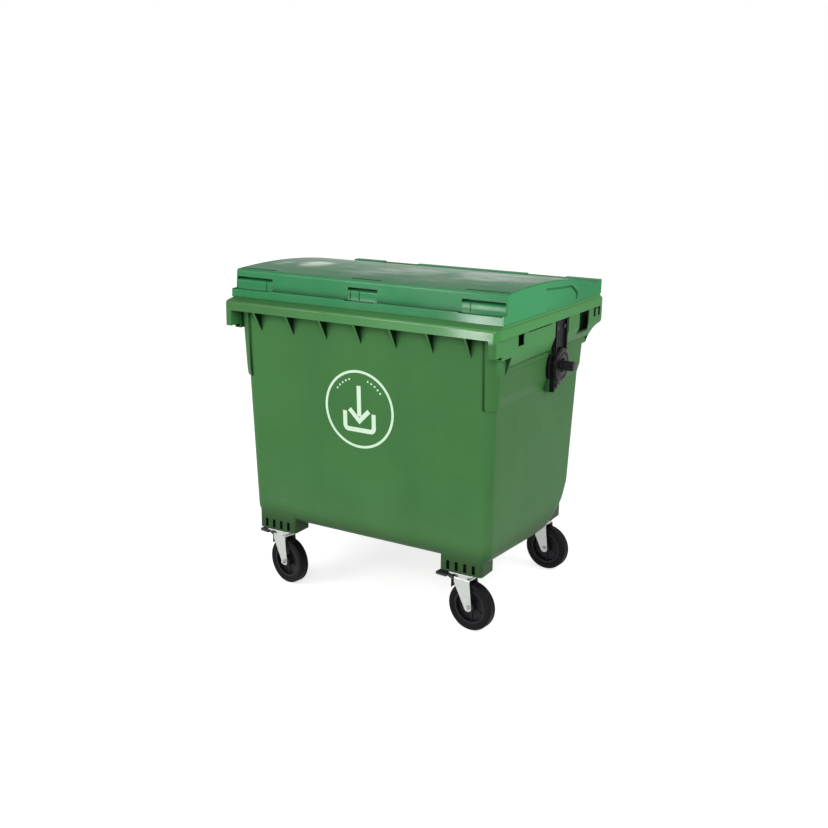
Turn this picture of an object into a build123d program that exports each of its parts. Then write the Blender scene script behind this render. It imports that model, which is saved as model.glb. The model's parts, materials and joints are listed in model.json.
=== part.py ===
from build123d import *
import math
import os

os.makedirs("parts", exist_ok=True)

# A four-wheeled waste container of about 1100 litres with a flat hinged lid, in millimetres.
# +Z is up, the front looks along -Y and the origin is on the floor under the middle.

# Overall sizes
rim_width = 1260
rim_depth = 1044
rim_top = 1256
pin_span = 1370
half_width = rim_width / 2
half_depth = rim_depth / 2

# Clearances and overruns that every piece shares
cut_over = 40
rest_gap = 0.3
turn_gap = 0.05

# Castor height: the wheel, the fork crown over it and the swivel bearing
wheel_radius = 100
crown_clearance = 17
bearing_height = 26
crown_top = 2 * wheel_radius + crown_clearance
plate_top = crown_top + bearing_height

# Tub walls: how far each stands inside the rim at the band foot, and how much it leans in to the foot level
wall = 6
band_height = 49
floor_lift = 19
foot_rise = 92
front_reach = 62
front_taper = 36
rear_reach = 94
rear_taper = 52
side_reach = 45
side_taper = 18
corner_radius = 46
band_foot = rim_top - band_height
floor_level = plate_top + floor_lift
foot_level = floor_level + foot_rise
front_high = half_depth - front_reach
front_low = front_high - front_taper
rear_high = half_depth - rear_reach
rear_low = rear_high - rear_taper
side_high = half_width - side_reach
side_low = side_high - side_taper

# Tub floor, seen from the side: a flat stretch, a ramp up to the rear and a rounded heel
front_foot_rise = 30
front_foot_radius = 60
ramp_inset = 46
ramp_length = 155
ramp_rise = 76
ramp_radius = 150
floor_length = 135
floor_radius = 400
heel_rise = 168
heel_radius = 120
front_foot = floor_level + front_foot_rise
ramp_end = rear_low - ramp_inset
ramp_end_level = floor_level + ramp_rise
floor_rear = ramp_end - ramp_length
floor_front = floor_rear - floor_length
heel_level = floor_level + heel_rise

# Wider upper part of the side walls
collar_height = 279
collar_reach = 32
collar_taper = 10
collar_step = 9
collar_step_height = 38
collar_foot = band_foot - collar_height
collar_high = half_width - collar_reach
collar_low = collar_high - collar_taper

# Rim: a channel turned downwards, with a sloped front shoulder
rim_wall = 5
rim_corner = 32
nose_radius = 9
nose_steps = 3
side_shoulder = 7
front_shoulder = 48
rear_shoulder = 14
shoulder_drop = 9

# Gussets under the front and rear bands
gusset_count = 7
gusset_pitch = 162
gusset_thickness = 10
gusset_height = 92
gusset_setback = 8

# Side aprons: thin plates below the rim, hollow behind, that blend into the side walls
apron_setback = 8
apron_depth = 32
apron_wall = 5
apron_inner_wall = 4
apron_height = 64
apron_blend_height = 87
post_length = 60
notch_length = 89
notch_drop = 17
rear_post_height = 77
cove_height = 58
post_corner = 14
apron_face = half_width - apron_setback
apron_back = apron_face - apron_depth
apron_blend_top = band_foot - apron_height
apron_blend_foot = apron_blend_top - apron_blend_height
post_foot = apron_blend_top
post_end = half_depth - post_length
notch_foot = post_foot - notch_drop
notch_end = post_end - notch_length
rear_post_foot = band_foot - rear_post_height
cove_foot = rear_post_foot - cove_height

# Windows in the side aprons
front_window_inset = 90
front_window_length = 151
front_window_height = 47
grip_lift = 26
grip_thickness = 8
grip_drop = 16
grip_length = 100
slit_inset = 40
slit_length = 213
slit_height = 7
rear_window_inset = 150
rear_window_length = 104
rear_window_height = 87
pocket_inset = 22
pocket_length = 73
pocket_height = 42
pocket_depth = 12
pocket_boss_width = 30
front_window_start = half_depth - front_window_inset
front_window_end = front_window_start - front_window_length
front_window_foot = band_foot - front_window_height
grip_level = band_foot + grip_lift
grip_end = front_window_start - grip_length
slit_start = front_window_end - slit_inset
slit_end = slit_start - slit_length
rear_window_end = half_depth - rear_window_inset
rear_window_start = rear_window_end - rear_window_length
rear_window_foot = band_foot - rear_window_height
pocket_end = half_depth - pocket_inset
pocket_start = pocket_end - pocket_length
pocket_foot = band_foot - pocket_height

# Lifting pins on the sides, with their brackets
pin_y = 85
pin_drop = 192
pin_radius = 20
pin_shank_radius = 16
pin_chamfer = 4
boss_radius = 60
socket_radius = 78
socket_depth = 84
socket_wall = 6
pad_depth = 28
arm_width = 116
arm_thickness = 12
arm_play = 6
arm_rib = 9
arm_rib_width = 10
arm_rib_spacing = 52
channel_width = 138
heel_block_setback = 8
heel_block_width = 122
heel_block_drop = 103
heel_block_rise = 52
bolt_radius = 5
bolt_head_radius = 9
bolt_head_height = 6
bolt_reach = 14
bolt_spacing = 74
bolt_top_drop = 35
bolt_low_drop = 77
pin_level = band_foot - pin_drop
boss_face = half_width
socket_floor = boss_face - socket_depth
pad_face = boss_face - pad_depth
arm_top = band_foot - arm_play
heel_block_face = boss_face - heel_block_setback
heel_block_foot = pin_level - heel_block_drop
bolt_top_level = band_foot - bolt_top_drop
bolt_low_level = pin_level - bolt_low_drop

# Castor housings under the tub
castor_inset = 118
castor_setback = 149
housing_width = 188
housing_length = 106
housing_rise = 68
rear_housing_width = 126
rear_housing_rise = 163
rear_housing_block = 62
housing_radius = 12
rib_slot_count = 4
rib_slot_pitch = 38
rib_slot_width = 14
rib_slot_depth = 16
rib_slot_height = 44
castor_x = side_low - castor_inset
castor_y = half_depth - castor_setback
housing_top = floor_level + housing_rise
rear_housing_top = floor_level + rear_housing_rise
rear_housing_low = plate_top + rear_housing_block

# Castors, with the wheel trailing behind the swivel axis
trail = 34
plate_length = 110
plate_width = 100
plate_thickness = 5
plate_radius = 12
plate_bolt_pitch_x = 80
plate_bolt_pitch_y = 70
plate_bolt_depth = 26
castor_headings = {
    "front_left": -12.3,
    "front_right": -6.4,
    "rear_left": 8.0,
    "rear_right": -6.5,
}
race_radius = 38
race_lower_radius = 34
race_height = 11
lower_race_height = plate_top - plate_thickness - race_height - rest_gap - crown_top
crown_thickness = 5
kingpin_radius = 6
kingpin_head_radius = 10.5
kingpin_head_height = 5
hub_width = 54
hub_play = 1
fork_wall = 4
fork_inner = hub_width + 2 * hub_play
fork_front = 34
fork_rear = 38
fork_foot_radius = 17
fork_bend = 7
axle_radius = 6
sleeve_radius = 10
axle_head_radius = 10
axle_head_height = 7
axle_nut_height = 9
axle_end = 4

# Wheels
tyre_width = 46
tyre_depth = 27
tyre_shoulder = 11
hub_radius = 24
rim_ring = 9
rim_ring_width = 38
web_thickness = 8
spoke_count = 6
spoke_gap_share = 0.62
spoke_edge = 6

# Brakes on the front castors
pivot_x = 22
pivot_drop = 16
pivot_radius = 4
pivot_boss = 8
lever_width = 38
lever_thickness = 8
press_angle = 8
pedal_tip = 128
pedal_start = 74
pedal_width = 64
pedal_rise = 11
pedal_corner = 9
tread_count = 4
tread_pitch = 12
tread_height = 2
tread_width = 5
shoe_width = 34
shoe_start = 34
shoe_end = 58
shoe_gap = 1.5
pivot_level = crown_top - pivot_drop
pedal_level = pivot_level + pedal_rise

# Drain in the tub floor
drain_inset = 67
drain_boss_radius = 44
drain_boss_drop = 8
drain_hole_radius = 26
drain_flange_radius = 38
drain_flange = 6
seal_thickness = 3
drain_grip_height = 8
drain_grip_width = 12
drain_y = floor_rear - drain_inset

# Lid: a hollow shell that stands on the rim
lid_wall = 5
lid_side_setback = 6
lid_front_setback = 52
lid_rear_setback = 27
tier_height = 34
tier_setback = 28
tier_draft = 2
brow_height = 111
brow_draft = 6
crown_height = 115
crown_rear_inset = 55
crown_rear_height = 54
ridge_depth = 39
ridge_height = 66
rear_wall_height = 4
rear_wall_depth = 29
lid_edge_radius = 12
ridge_edge_radius = 6
lid_side_radius = 5
handhold_half = 68
side_handhold_inset = 7
side_handhold_length = 181
handhold_height = 47
handhold_depth = 34
handhold_floor_lift = 3
groove_inset = 26
groove_length = 13
groove_drop = 2
lid_rib_thickness = 4
lid_rib_height = 82
lid_rib_places_share = (-0.66, -0.33, 0, 0.33, 0.66)
side_panel_depth = 4
side_panel_start = -98
side_panel_end = 218
side_panel_shoulder = 150
side_panel_foot_height = 12
side_panel_start_height = 94
side_panel_shoulder_height = 78
side_panel_end_height = 44
side_panel_radius = 40
lid_half = half_width - lid_side_setback
lid_front = half_depth - lid_front_setback
lid_rear = half_depth - lid_rear_setback
tier_top = rim_top + tier_height
lid_brow = rim_top + brow_height
crown_middle = rim_top + crown_height
crown_rear = lid_rear - crown_rear_inset
crown_rear_level = rim_top + crown_rear_height
ridge_front = lid_rear - ridge_depth
ridge_level = rim_top + ridge_height
rear_wall_foot = rim_top + rear_wall_height
rear_wall_start = lid_rear - rear_wall_depth
side_handhold_end = lid_half - side_handhold_inset
side_handhold_start = side_handhold_end - side_handhold_length
handhold_top = tier_top + handhold_height
lid_rib_foot = rim_top + lid_rib_height
side_panel_foot = rim_top + side_panel_foot_height
side_panel_start_top = rim_top + side_panel_start_height
side_panel_shoulder_top = rim_top + side_panel_shoulder_height
side_panel_end_top = rim_top + side_panel_end_height

# Hinge at the rear: body knuckles in slots of the lid ridge
hinge_x = 373
hinge_inset = 17
hinge_rise = 47
knuckle_radius = 16
hinge_pin_radius = 8
slot_width = 190
slot_inset = 50
slot_play = 0.5
barrel_length = 38
knuckle_foot_front_length = 22
knuckle_foot_rear_length = 26
knuckle_web = 6
knuckle_rib = 8
knuckle_rib_count = 4
hinge_y = lid_rear - hinge_inset
hinge_level = rim_top + hinge_rise
slot_front = lid_rear - slot_inset
knuckle_foot_front = hinge_y - knuckle_foot_front_length
knuckle_foot_rear = hinge_y + knuckle_foot_rear_length


def keep(piece, name, plane=Plane.XY):
    """Set a finished piece on its plane, give it its name and write its file."""
    placed = plane.from_local_coords(piece)
    placed.label = name
    export_step(placed, f"parts/{name}.step")


def lean(low, high, level):
    """Where a leaning wall stands at a level, from its places at the foot level and the band foot."""
    return low + (high - low) * (level - foot_level) / (band_foot - foot_level)


def box_between(low, high, mode=Mode.ADD):
    """A box between two corners, added to or cut from the part in work."""
    size = [b - a for a, b in zip(low, high)]
    with Locations(tuple(low)):
        return Box(*size, align=(Align.MIN, Align.MIN, Align.MIN), mode=mode)


# Tub
def walled_form(inset, top, foot, foot_half, top_half):
    """The solid inside the leaning walls, each face moved in by inset, with the long edges rounded."""
    outline = [
        (-lean(front_low, front_high, top), top),
        (-lean(front_low, front_high, front_foot), front_foot),
        (floor_front, floor_level),
        (floor_rear, floor_level),
        (ramp_end, ramp_end_level),
        (lean(rear_low, rear_high, heel_level), heel_level),
        (lean(rear_low, rear_high, top), top),
    ]
    radii = [0, front_foot_radius, floor_radius, ramp_radius, heel_radius, heel_radius, 0]
    with BuildPart() as form:
        with BuildSketch(Plane.YZ):
            with BuildLine():
                FilletPolyline(*outline, radius=radii, close=True)
            make_face()
            if inset:
                offset(amount=-inset)
        extrude(amount=rim_width, both=True)
        with BuildSketch(Plane.XZ):
            with BuildLine():
                Polyline((-top_half, top), (-foot_half, foot), (foot_half, foot), (top_half, top), close=True)
            make_face()
            if inset:
                offset(amount=-inset)
        extrude(amount=rim_depth, both=True, mode=Mode.INTERSECT)
        ends = form.faces().sort_by(Axis.X)
        flat = form.faces().filter_by(Axis.Z).sort_by(Axis.Z)
        kept = flat[-1].edges()
        if foot > floor_level:
            kept += flat[0].edges()
        fillet((ends[0].edges() + ends[-1].edges()) - kept, corner_radius - inset)
    return form.part


def tub_form(inset, top):
    """The whole tub as one leaning form."""
    reach = lean(side_low, side_high, top)
    below = floor_level - cut_over
    return walled_form(inset, top, below, lean(side_low, side_high, below), reach)


def collar_form(inset, top):
    """The wider upper part of the tub, stepped in at its foot."""
    rise = (collar_high - collar_low) / (band_foot - collar_foot)
    with BuildPart() as collar:
        add(walled_form(inset, top, collar_foot, collar_low, collar_low + rise * (top - collar_foot)))
        foot = collar.faces().filter_by(Axis.Z).sort_by(Axis.Z)[0]
        step_edges = foot.edges().filter_by(Axis.X, reverse=True)
        chamfer(step_edges, collar_step, collar_step_height, reference=foot)
    return collar.part


# Rim
def rim_form(inset, foot):
    """The rim as a closed solid: upright bands, a rounded nose and a shoulder up to the flat top."""
    nose = rim_top - shoulder_drop - nose_radius
    rings = [(foot, 0, 0, 0), (nose - inset, 0, 0, 0)]
    for step in range(1, nose_steps + 1):
        angle = math.radians(90 * step / (nose_steps + 1))
        draw_in = nose_radius * (1 - math.cos(angle))
        rings.append((nose - inset + nose_radius * math.sin(angle), draw_in, draw_in, draw_in))
    rings.append((rim_top - inset, side_shoulder, front_shoulder, rear_shoulder))
    with BuildPart() as form:
        for level, side_in, front_in, rear_in in rings:
            width = rim_width - 2 * (side_in + inset)
            depth = rim_depth - front_in - rear_in - 2 * inset
            with BuildSketch(Plane.XY.offset(level)):
                with Locations((0, (front_in - rear_in) / 2)):
                    RectangleRounded(width, depth, rim_corner - min(side_in, nose_radius) - inset)
        loft(ruled=True)
    return form.part


def gusset(side, x):
    """One upright gusset under the front band (side -1) or the rear band (side 1)."""
    wall_high = front_high if side < 0 else rear_high
    wall_low = front_low if side < 0 else rear_low
    band = rim_depth / 2 - rim_wall
    tip = band_foot - gusset_height
    at_tip = lean(wall_low, wall_high, tip) - wall / 2
    at_top = lean(wall_low, wall_high, rim_top) - wall / 2
    with BuildPart() as rib:
        with BuildSketch(Plane.YZ.offset(x)):
            with BuildLine():
                Polyline(
                    (side * at_tip, tip),
                    (side * (band - gusset_setback), band_foot),
                    (side * band, band_foot + gusset_setback),
                    (side * band, rim_top - shoulder_drop - rim_wall),
                    (side * at_top, rim_top - rim_wall / 2),
                    close=True,
                )
            make_face()
        extrude(amount=gusset_thickness / 2, both=True)
    return rib.part


# Side aprons
def apron_form(inset, back):
    """The apron of the right side as a closed solid, each face moved in by inset."""
    front = rim_depth / 2 - inset
    wall_rear = lean(rear_low, rear_high, cove_foot)
    face = apron_face - inset
    with BuildPart() as form:
        with BuildSketch(Plane.YZ.offset(back)):
            with BuildLine():
                Polyline(
                    (front, rim_top - shoulder_drop - nose_radius),
                    (-front, rim_top - shoulder_drop - nose_radius),
                    (-front, post_foot + inset),
                    (-post_end, post_foot + inset),
                    (-post_end, notch_foot + inset),
                    (-notch_end + inset, notch_foot + inset),
                    (-notch_end + inset, apron_blend_foot - cut_over),
                    (wall_rear - inset, apron_blend_foot - cut_over),
                    (wall_rear - inset, cove_foot),
                )
                EllipticalCenterArc(
                    (front, cove_foot),
                    front - wall_rear + inset,
                    rear_post_foot + inset - cove_foot,
                    start_angle=90,
                    arc_size=90,
                )
                Line((front, rear_post_foot + inset), (front, rim_top - shoulder_drop - nose_radius))
            make_face()
        extrude(amount=face - back)
        with BuildSketch(Plane.XZ):
            with BuildLine():
                Polyline(
                    (back - cut_over, apron_blend_foot + inset - cut_over),
                    (back + apron_inner_wall, apron_blend_foot + inset),
                    (face, apron_blend_top + inset),
                    (face + cut_over, apron_blend_top + inset),
                    (face + cut_over, apron_blend_foot - 2 * cut_over),
                    (back - cut_over, apron_blend_foot - 2 * cut_over),
                    close=True,
                )
            make_face()
        extrude(amount=rim_depth, both=True, mode=Mode.SUBTRACT)
    return form.part


def apron_windows():
    """The openings cut through the plate of the right apron, as one group of solids."""
    back = apron_face - apron_wall - cut_over / 8
    face = apron_face + cut_over
    channel = channel_width / 2
    with BuildPart() as windows:
        box_between((back, -grip_end, front_window_foot), (face, -front_window_end, band_foot + cut_over))
        box_between((back, -front_window_start, grip_level - grip_drop), (face, -grip_end, band_foot + cut_over))
        grip_top = grip_level + grip_thickness / 2
        grip_low = grip_level - grip_thickness / 2
        box_between(
            (back, -front_window_start, grip_low), (face, -grip_end, grip_top), mode=Mode.SUBTRACT
        )
        box_between((back, -slit_start, band_foot - slit_height), (face, -slit_end, band_foot))
        box_between((pad_face, pin_y - channel, pin_level), (face, pin_y + channel, band_foot))
        box_between((back, rear_window_start, rear_window_foot), (face, rear_window_end, band_foot))
    return windows.part


def rear_pocket():
    """The shallow pocket with a square boss at the rear end of the right apron."""
    middle = (pocket_start + pocket_end) / 2
    half_boss = pocket_boss_width / 2
    floor = apron_face - pocket_depth
    with BuildPart() as pocket:
        box_between((floor, pocket_start, pocket_foot), (apron_face + cut_over, pocket_end, band_foot))
        box_between(
            (floor, middle - half_boss, pocket_foot),
            (apron_face, middle + half_boss, band_foot - pocket_boss_width / 4),
            mode=Mode.SUBTRACT,
        )
    return pocket.part


# Castor housings
def front_housing():
    """The ribbed block under the right front corner that a castor plate is bolted to."""
    wall_y = lean(front_low, front_high, plate_top)
    rear_y = housing_length - wall_y
    low_x = castor_x - housing_width / 2
    with BuildPart() as housing:
        box_between((low_x, -wall_y, plate_top), (low_x + housing_width, rear_y, housing_top))
        fillet(housing.edges().filter_by(Axis.Z), housing_radius)
        for index in range(rib_slot_count):
            slot_x = castor_x + (index - (rib_slot_count - 1) / 2) * rib_slot_pitch
            box_between(
                (slot_x - rib_slot_width / 2, -wall_y - cut_over, plate_top + rib_slot_width / 2),
                (slot_x + rib_slot_width / 2, rib_slot_depth - wall_y, plate_top + rib_slot_height),
                mode=Mode.SUBTRACT,
            )
    return housing.part


def rear_housing():
    """The block under the right rear corner, its back sloping up into the tub's heel."""
    half = housing_length / 2
    with BuildPart() as housing:
        with BuildSketch(Plane.YZ.offset(castor_x - rear_housing_width / 2)):
            with BuildLine():
                Polyline(
                    (castor_y - half, plate_top),
                    (castor_y + half, plate_top),
                    (castor_y + half, rear_housing_low),
                    (lean(rear_low, rear_high, rear_housing_top) - wall / 2, rear_housing_top),
                    (castor_y - half, rear_housing_top),
                    close=True,
                )
            make_face()
        extrude(amount=rear_housing_width)
        fillet(housing.edges().filter_by(Axis.Z), housing_radius)
    return housing.part


def plate_bolt_places(x, y):
    """The four bolt axes of the castor plate centred on x and y."""
    return [
        (x + i * plate_bolt_pitch_x / 2, y + j * plate_bolt_pitch_y / 2) for i in (-1, 1) for j in (-1, 1)
    ]


# Hinge knuckles on the rim
def knuckle_outline():
    """The side outline of a knuckle rib, from its foot on the rim round the pin."""
    foot = rim_top - rim_wall / 2
    with BuildSketch() as outline:
        with Locations((hinge_y, hinge_level)):
            Circle(knuckle_radius)
        with BuildLine():
            Line((knuckle_foot_front, foot), (knuckle_foot_rear, foot))
        make_hull()
    return outline.sketch


def knuckle(x):
    """A knuckle tube on ribs and a web, standing on the rear of the rim at x."""
    width = slot_width - 2 * slot_play
    rib_step = (width - knuckle_rib) / (knuckle_rib_count - 1)
    with BuildPart() as piece:
        with BuildSketch(Plane.YZ.offset(x - width / 2)):
            with Locations((hinge_y, hinge_level)):
                Circle(knuckle_radius)
        extrude(amount=width)
        for index in range(knuckle_rib_count):
            with BuildSketch(Plane.YZ.offset(x - width / 2 + index * rib_step)):
                add(knuckle_outline())
            extrude(amount=knuckle_rib)
        box_between(
            (x - width / 2, hinge_y - knuckle_web / 2, rim_top - rim_wall / 2),
            (x + width / 2, hinge_y + knuckle_web / 2, hinge_level),
        )
        with Locations(Plane(origin=(x, hinge_y, hinge_level), z_dir=(1, 0, 0))):
            Cylinder(hinge_pin_radius + turn_gap, slot_width, mode=Mode.SUBTRACT)
    return piece.part


# Lifting pin seat in the right side wall
def socket_cup():
    """The round cup that carries the bracket's boss inside the right wall, with the pad above it."""
    heel_half = heel_block_width / 2
    with BuildPart() as cup:
        with BuildSketch(Plane.YZ.offset(socket_floor - socket_wall)):
            with Locations((pin_y, pin_level)):
                Circle(socket_radius + socket_wall)
        extrude(amount=lean(side_low, side_high, pin_level) - socket_floor + socket_wall)
        box_between(
            (side_low, pin_y - heel_half, heel_block_foot), (pad_face, pin_y + heel_half, band_foot + wall)
        )
    return cup.part


def right_side():
    """The apron of the right side with its windows, plus the seat of the lifting pin's bracket."""
    with BuildPart() as side:
        add(apron_form(0, apron_back))
        corners = side.edges().filter_by(Axis.Z).group_by(Axis.X)[-1].sort_by(Axis.Y)
        fillet(corners[0], post_corner)
        add(apron_form(apron_wall, apron_back + apron_inner_wall), mode=Mode.SUBTRACT)
        add(apron_windows(), mode=Mode.SUBTRACT)
        add(rear_pocket(), mode=Mode.SUBTRACT)
    return side.part


def build_body():
    """The one-piece container: tub, rim, aprons, housings, knuckles and pin seats."""
    inner_top = rim_top + cut_over
    under_rim = rim_top - rim_wall / 2
    below = floor_level - drain_boss_drop
    with BuildPart() as body:
        add(rim_form(0, band_foot))
        add(rim_form(rim_wall, band_foot - cut_over), mode=Mode.SUBTRACT)
        side_wall = right_side()
        add(side_wall)
        add(mirror(side_wall, about=Plane.YZ, mode=Mode.PRIVATE))
        add(tub_form(0, under_rim))
        add(collar_form(0, under_rim))
        for index in range(gusset_count):
            x = (index - (gusset_count - 1) / 2) * gusset_pitch
            add(gusset(-1, x))
            add(gusset(1, x))
        for housing in (front_housing(), rear_housing()):
            add(housing)
            add(mirror(housing, about=Plane.YZ, mode=Mode.PRIVATE))
        with Locations((0, drain_y, below)):
            Cylinder(drain_boss_radius, drain_boss_drop + wall / 2, align=(Align.CENTER, Align.CENTER, Align.MIN))
        add(knuckle(hinge_x))
        add(knuckle(-hinge_x))
        add(tub_form(wall, inner_top), mode=Mode.SUBTRACT)
        add(collar_form(wall, inner_top), mode=Mode.SUBTRACT)
        cup = socket_cup()
        add(cup)
        add(mirror(cup, about=Plane.YZ, mode=Mode.PRIVATE))
        for side in (-1, 1):
            with Locations(Plane(origin=(side * socket_floor, pin_y, pin_level), z_dir=(side, 0, 0))):
                Cylinder(
                    socket_radius,
                    apron_face - socket_floor,
                    align=(Align.CENTER, Align.CENTER, Align.MIN),
                    mode=Mode.SUBTRACT,
                )
            for bolt_y, bolt_z in bracket_bolt_places():
                with Locations(Plane(origin=(side * pad_face, bolt_y, bolt_z), z_dir=(-side, 0, 0))):
                    Cylinder(
                        bolt_radius + turn_gap,
                        bolt_reach,
                        align=(Align.CENTER, Align.CENTER, Align.MIN),
                        mode=Mode.SUBTRACT,
                    )
            for front in (-1, 1):
                for bolt_x, bolt_y in plate_bolt_places(side * castor_x, front * castor_y):
                    with Locations((bolt_x, bolt_y, plate_top)):
                        Cylinder(
                            bolt_radius + turn_gap,
                            plate_bolt_depth,
                            align=(Align.CENTER, Align.CENTER, Align.MIN),
                            mode=Mode.SUBTRACT,
                        )
        with Locations((0, drain_y, below)):
            Cylinder(
                drain_hole_radius,
                drain_boss_drop + wall + cut_over,
                align=(Align.CENTER, Align.CENTER, Align.MIN),
                mode=Mode.SUBTRACT,
            )
    return body.part


# Lid
def lid_outline():
    """The lid's outer outline seen from the side, with its brow and ridge rounded."""
    tier_y = -lid_front + tier_setback
    foot = rim_top + rest_gap
    brow = (tier_y + brow_draft, lid_brow)
    with BuildSketch() as outline:
        with BuildLine():
            Polyline(
                brow,
                (tier_y, tier_top),
                (-lid_front + tier_draft, tier_top),
                (-lid_front, foot),
                (rear_wall_start, foot),
                (rear_wall_start, rear_wall_foot),
                (lid_rear, rear_wall_foot),
                (lid_rear, ridge_level),
                (ridge_front, ridge_level),
                (crown_rear, crown_rear_level),
            )
            ThreePointArc((crown_rear, crown_rear_level), (0, crown_middle), brow)
        make_face()
        fillet(outline.vertices().sort_by_distance((*brow, 0))[0], lid_edge_radius)
        fillet(outline.vertices().sort_by_distance((lid_rear, ridge_level, 0))[0], ridge_edge_radius)
    return outline.sketch


def lid_form():
    """The lid's outer form as a closed solid."""
    with BuildPart() as form:
        with BuildSketch(Plane.YZ):
            add(lid_outline())
        extrude(amount=lid_half, both=True)
        ends = form.faces().sort_by(Axis.X)
        upper = (ends[0].edges() + ends[-1].edges()).filter_by(
            lambda edge: edge.center().Z > tier_top and edge.center().Y < crown_rear
        )
        fillet(upper, lid_side_radius)
    return form.part


def handhold_spans():
    """Where each handhold starts and ends across the lid."""
    return [
        (-handhold_half, handhold_half),
        (side_handhold_start, side_handhold_end),
        (-side_handhold_end, -side_handhold_start),
    ]


def handhold_boxes(grow):
    """The three handholds of the lid's front, each grown on every side by grow."""
    back = -lid_front + tier_setback + handhold_depth + grow
    foot = tier_top - handhold_floor_lift - grow
    with BuildPart() as boxes:
        for low, high in handhold_spans():
            box_between(
                (low - grow, -lid_front - cut_over, foot), (high + grow, back, handhold_top + grow)
            )
    return boxes.part


def brow_grooves(grow):
    """The shallow groove in the lid's top above each handhold, grown by grow."""
    start = -lid_front + tier_setback + groove_inset - grow
    end = start + groove_length + 2 * grow
    floor = lid_brow - groove_drop - grow
    with BuildPart() as grooves:
        for low, high in handhold_spans():
            box_between((low - grow, start, floor), (high + grow, end, lid_brow + cut_over))
    return grooves.part


def slot_boxes(grow):
    """The two hinge slots through the rear of the lid, grown by grow."""
    half = slot_width / 2 + grow
    with BuildPart() as boxes:
        for x in (-hinge_x, hinge_x):
            box_between(
                (x - half, slot_front - grow, rim_top - cut_over),
                (x + half, lid_rear + cut_over, ridge_level + cut_over),
            )
    return boxes.part


def side_panel(grow):
    """The shallow arched panel in the lid's right side face, grown by grow."""
    floor = lid_half - side_panel_depth - grow
    with BuildPart() as panel:
        with BuildSketch(Plane.YZ.offset(floor)) as arch:
            with BuildLine():
                FilletPolyline(
                    (side_panel_start - grow, side_panel_foot - grow),
                    (side_panel_start - grow, side_panel_start_top + grow),
                    (side_panel_shoulder, side_panel_shoulder_top + grow),
                    (side_panel_end + grow, side_panel_end_top),
                    (side_panel_end + grow, side_panel_foot - grow),
                    radius=[0, 0, side_panel_radius, side_panel_radius / 2, 0],
                    close=True,
                )
            make_face()
        extrude(amount=side_panel_depth + grow + cut_over)
    return panel.part


def build_lid():
    """The lid shell with handholds, side panels, hinge slots and barrels."""
    with BuildPart() as cavity:
        with BuildSketch(Plane.YZ):
            add(lid_outline())
            offset(amount=-lid_wall)
        extrude(amount=lid_half - lid_wall, both=True)
        front = -lid_front + lid_wall + tier_draft
        reach = lid_half - lid_wall
        box_between(
            (-reach, front, rim_top - cut_over), (reach, rear_wall_start - lid_wall, rim_top + 2 * lid_wall)
        )
        box_between(
            (-reach, rear_wall_start - 2 * lid_wall, rim_top - cut_over),
            (reach, lid_rear - lid_wall, rear_wall_foot + 2 * lid_wall),
        )
        add(handhold_boxes(lid_wall), mode=Mode.SUBTRACT)
        add(brow_grooves(lid_wall), mode=Mode.SUBTRACT)
        add(slot_boxes(lid_wall), mode=Mode.SUBTRACT)
        panel = side_panel(lid_wall)
        add(panel, mode=Mode.SUBTRACT)
        add(mirror(panel, about=Plane.YZ, mode=Mode.PRIVATE), mode=Mode.SUBTRACT)
        for share in lid_rib_places_share:
            rib_x = share * lid_half
            box_between(
                (rib_x - lid_rib_thickness / 2, -lid_front, lid_rib_foot),
                (rib_x + lid_rib_thickness / 2, crown_rear, crown_middle + cut_over),
                mode=Mode.SUBTRACT,
            )
        for x in (-hinge_x, hinge_x):
            for side in (-1, 1):
                middle = x + side * (slot_width + barrel_length) / 2
                box_between(
                    (middle - barrel_length / 2, hinge_y - knuckle_radius, hinge_level - knuckle_radius),
                    (middle + barrel_length / 2, lid_rear, ridge_level + cut_over),
                    mode=Mode.SUBTRACT,
                )
    with BuildPart() as lid:
        add(lid_form())
        add(handhold_boxes(0), mode=Mode.SUBTRACT)
        add(brow_grooves(0), mode=Mode.SUBTRACT)
        panel = side_panel(0)
        add(panel, mode=Mode.SUBTRACT)
        add(mirror(panel, about=Plane.YZ, mode=Mode.PRIVATE), mode=Mode.SUBTRACT)
        add(slot_boxes(0), mode=Mode.SUBTRACT)
        add(cavity.part, mode=Mode.SUBTRACT)
        for x in (-hinge_x, hinge_x):
            with Locations(Plane(origin=(x, hinge_y, hinge_level), z_dir=(1, 0, 0))):
                Cylinder(
                    hinge_pin_radius + turn_gap, slot_width + 2 * barrel_length, mode=Mode.SUBTRACT
                )
    return lid.part


def build_hinge_pin(x):
    """The steel pin through a knuckle and the two lid barrels beside it."""
    with BuildPart() as pin:
        with Locations(Plane(origin=(x, hinge_y, hinge_level), z_dir=(1, 0, 0))):
            Cylinder(hinge_pin_radius, slot_width + 2 * barrel_length)
        chamfer(pin.edges(), hinge_pin_radius / 8)
    return pin.part


# Lifting pin brackets
def bracket_bolt_places():
    """Places of the bracket's bolts on the side, as y and level."""
    half = bolt_spacing / 2
    return [
        (pin_y - half, bolt_top_level),
        (pin_y + half, bolt_top_level),
        (pin_y - half, bolt_low_level),
    ]


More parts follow.
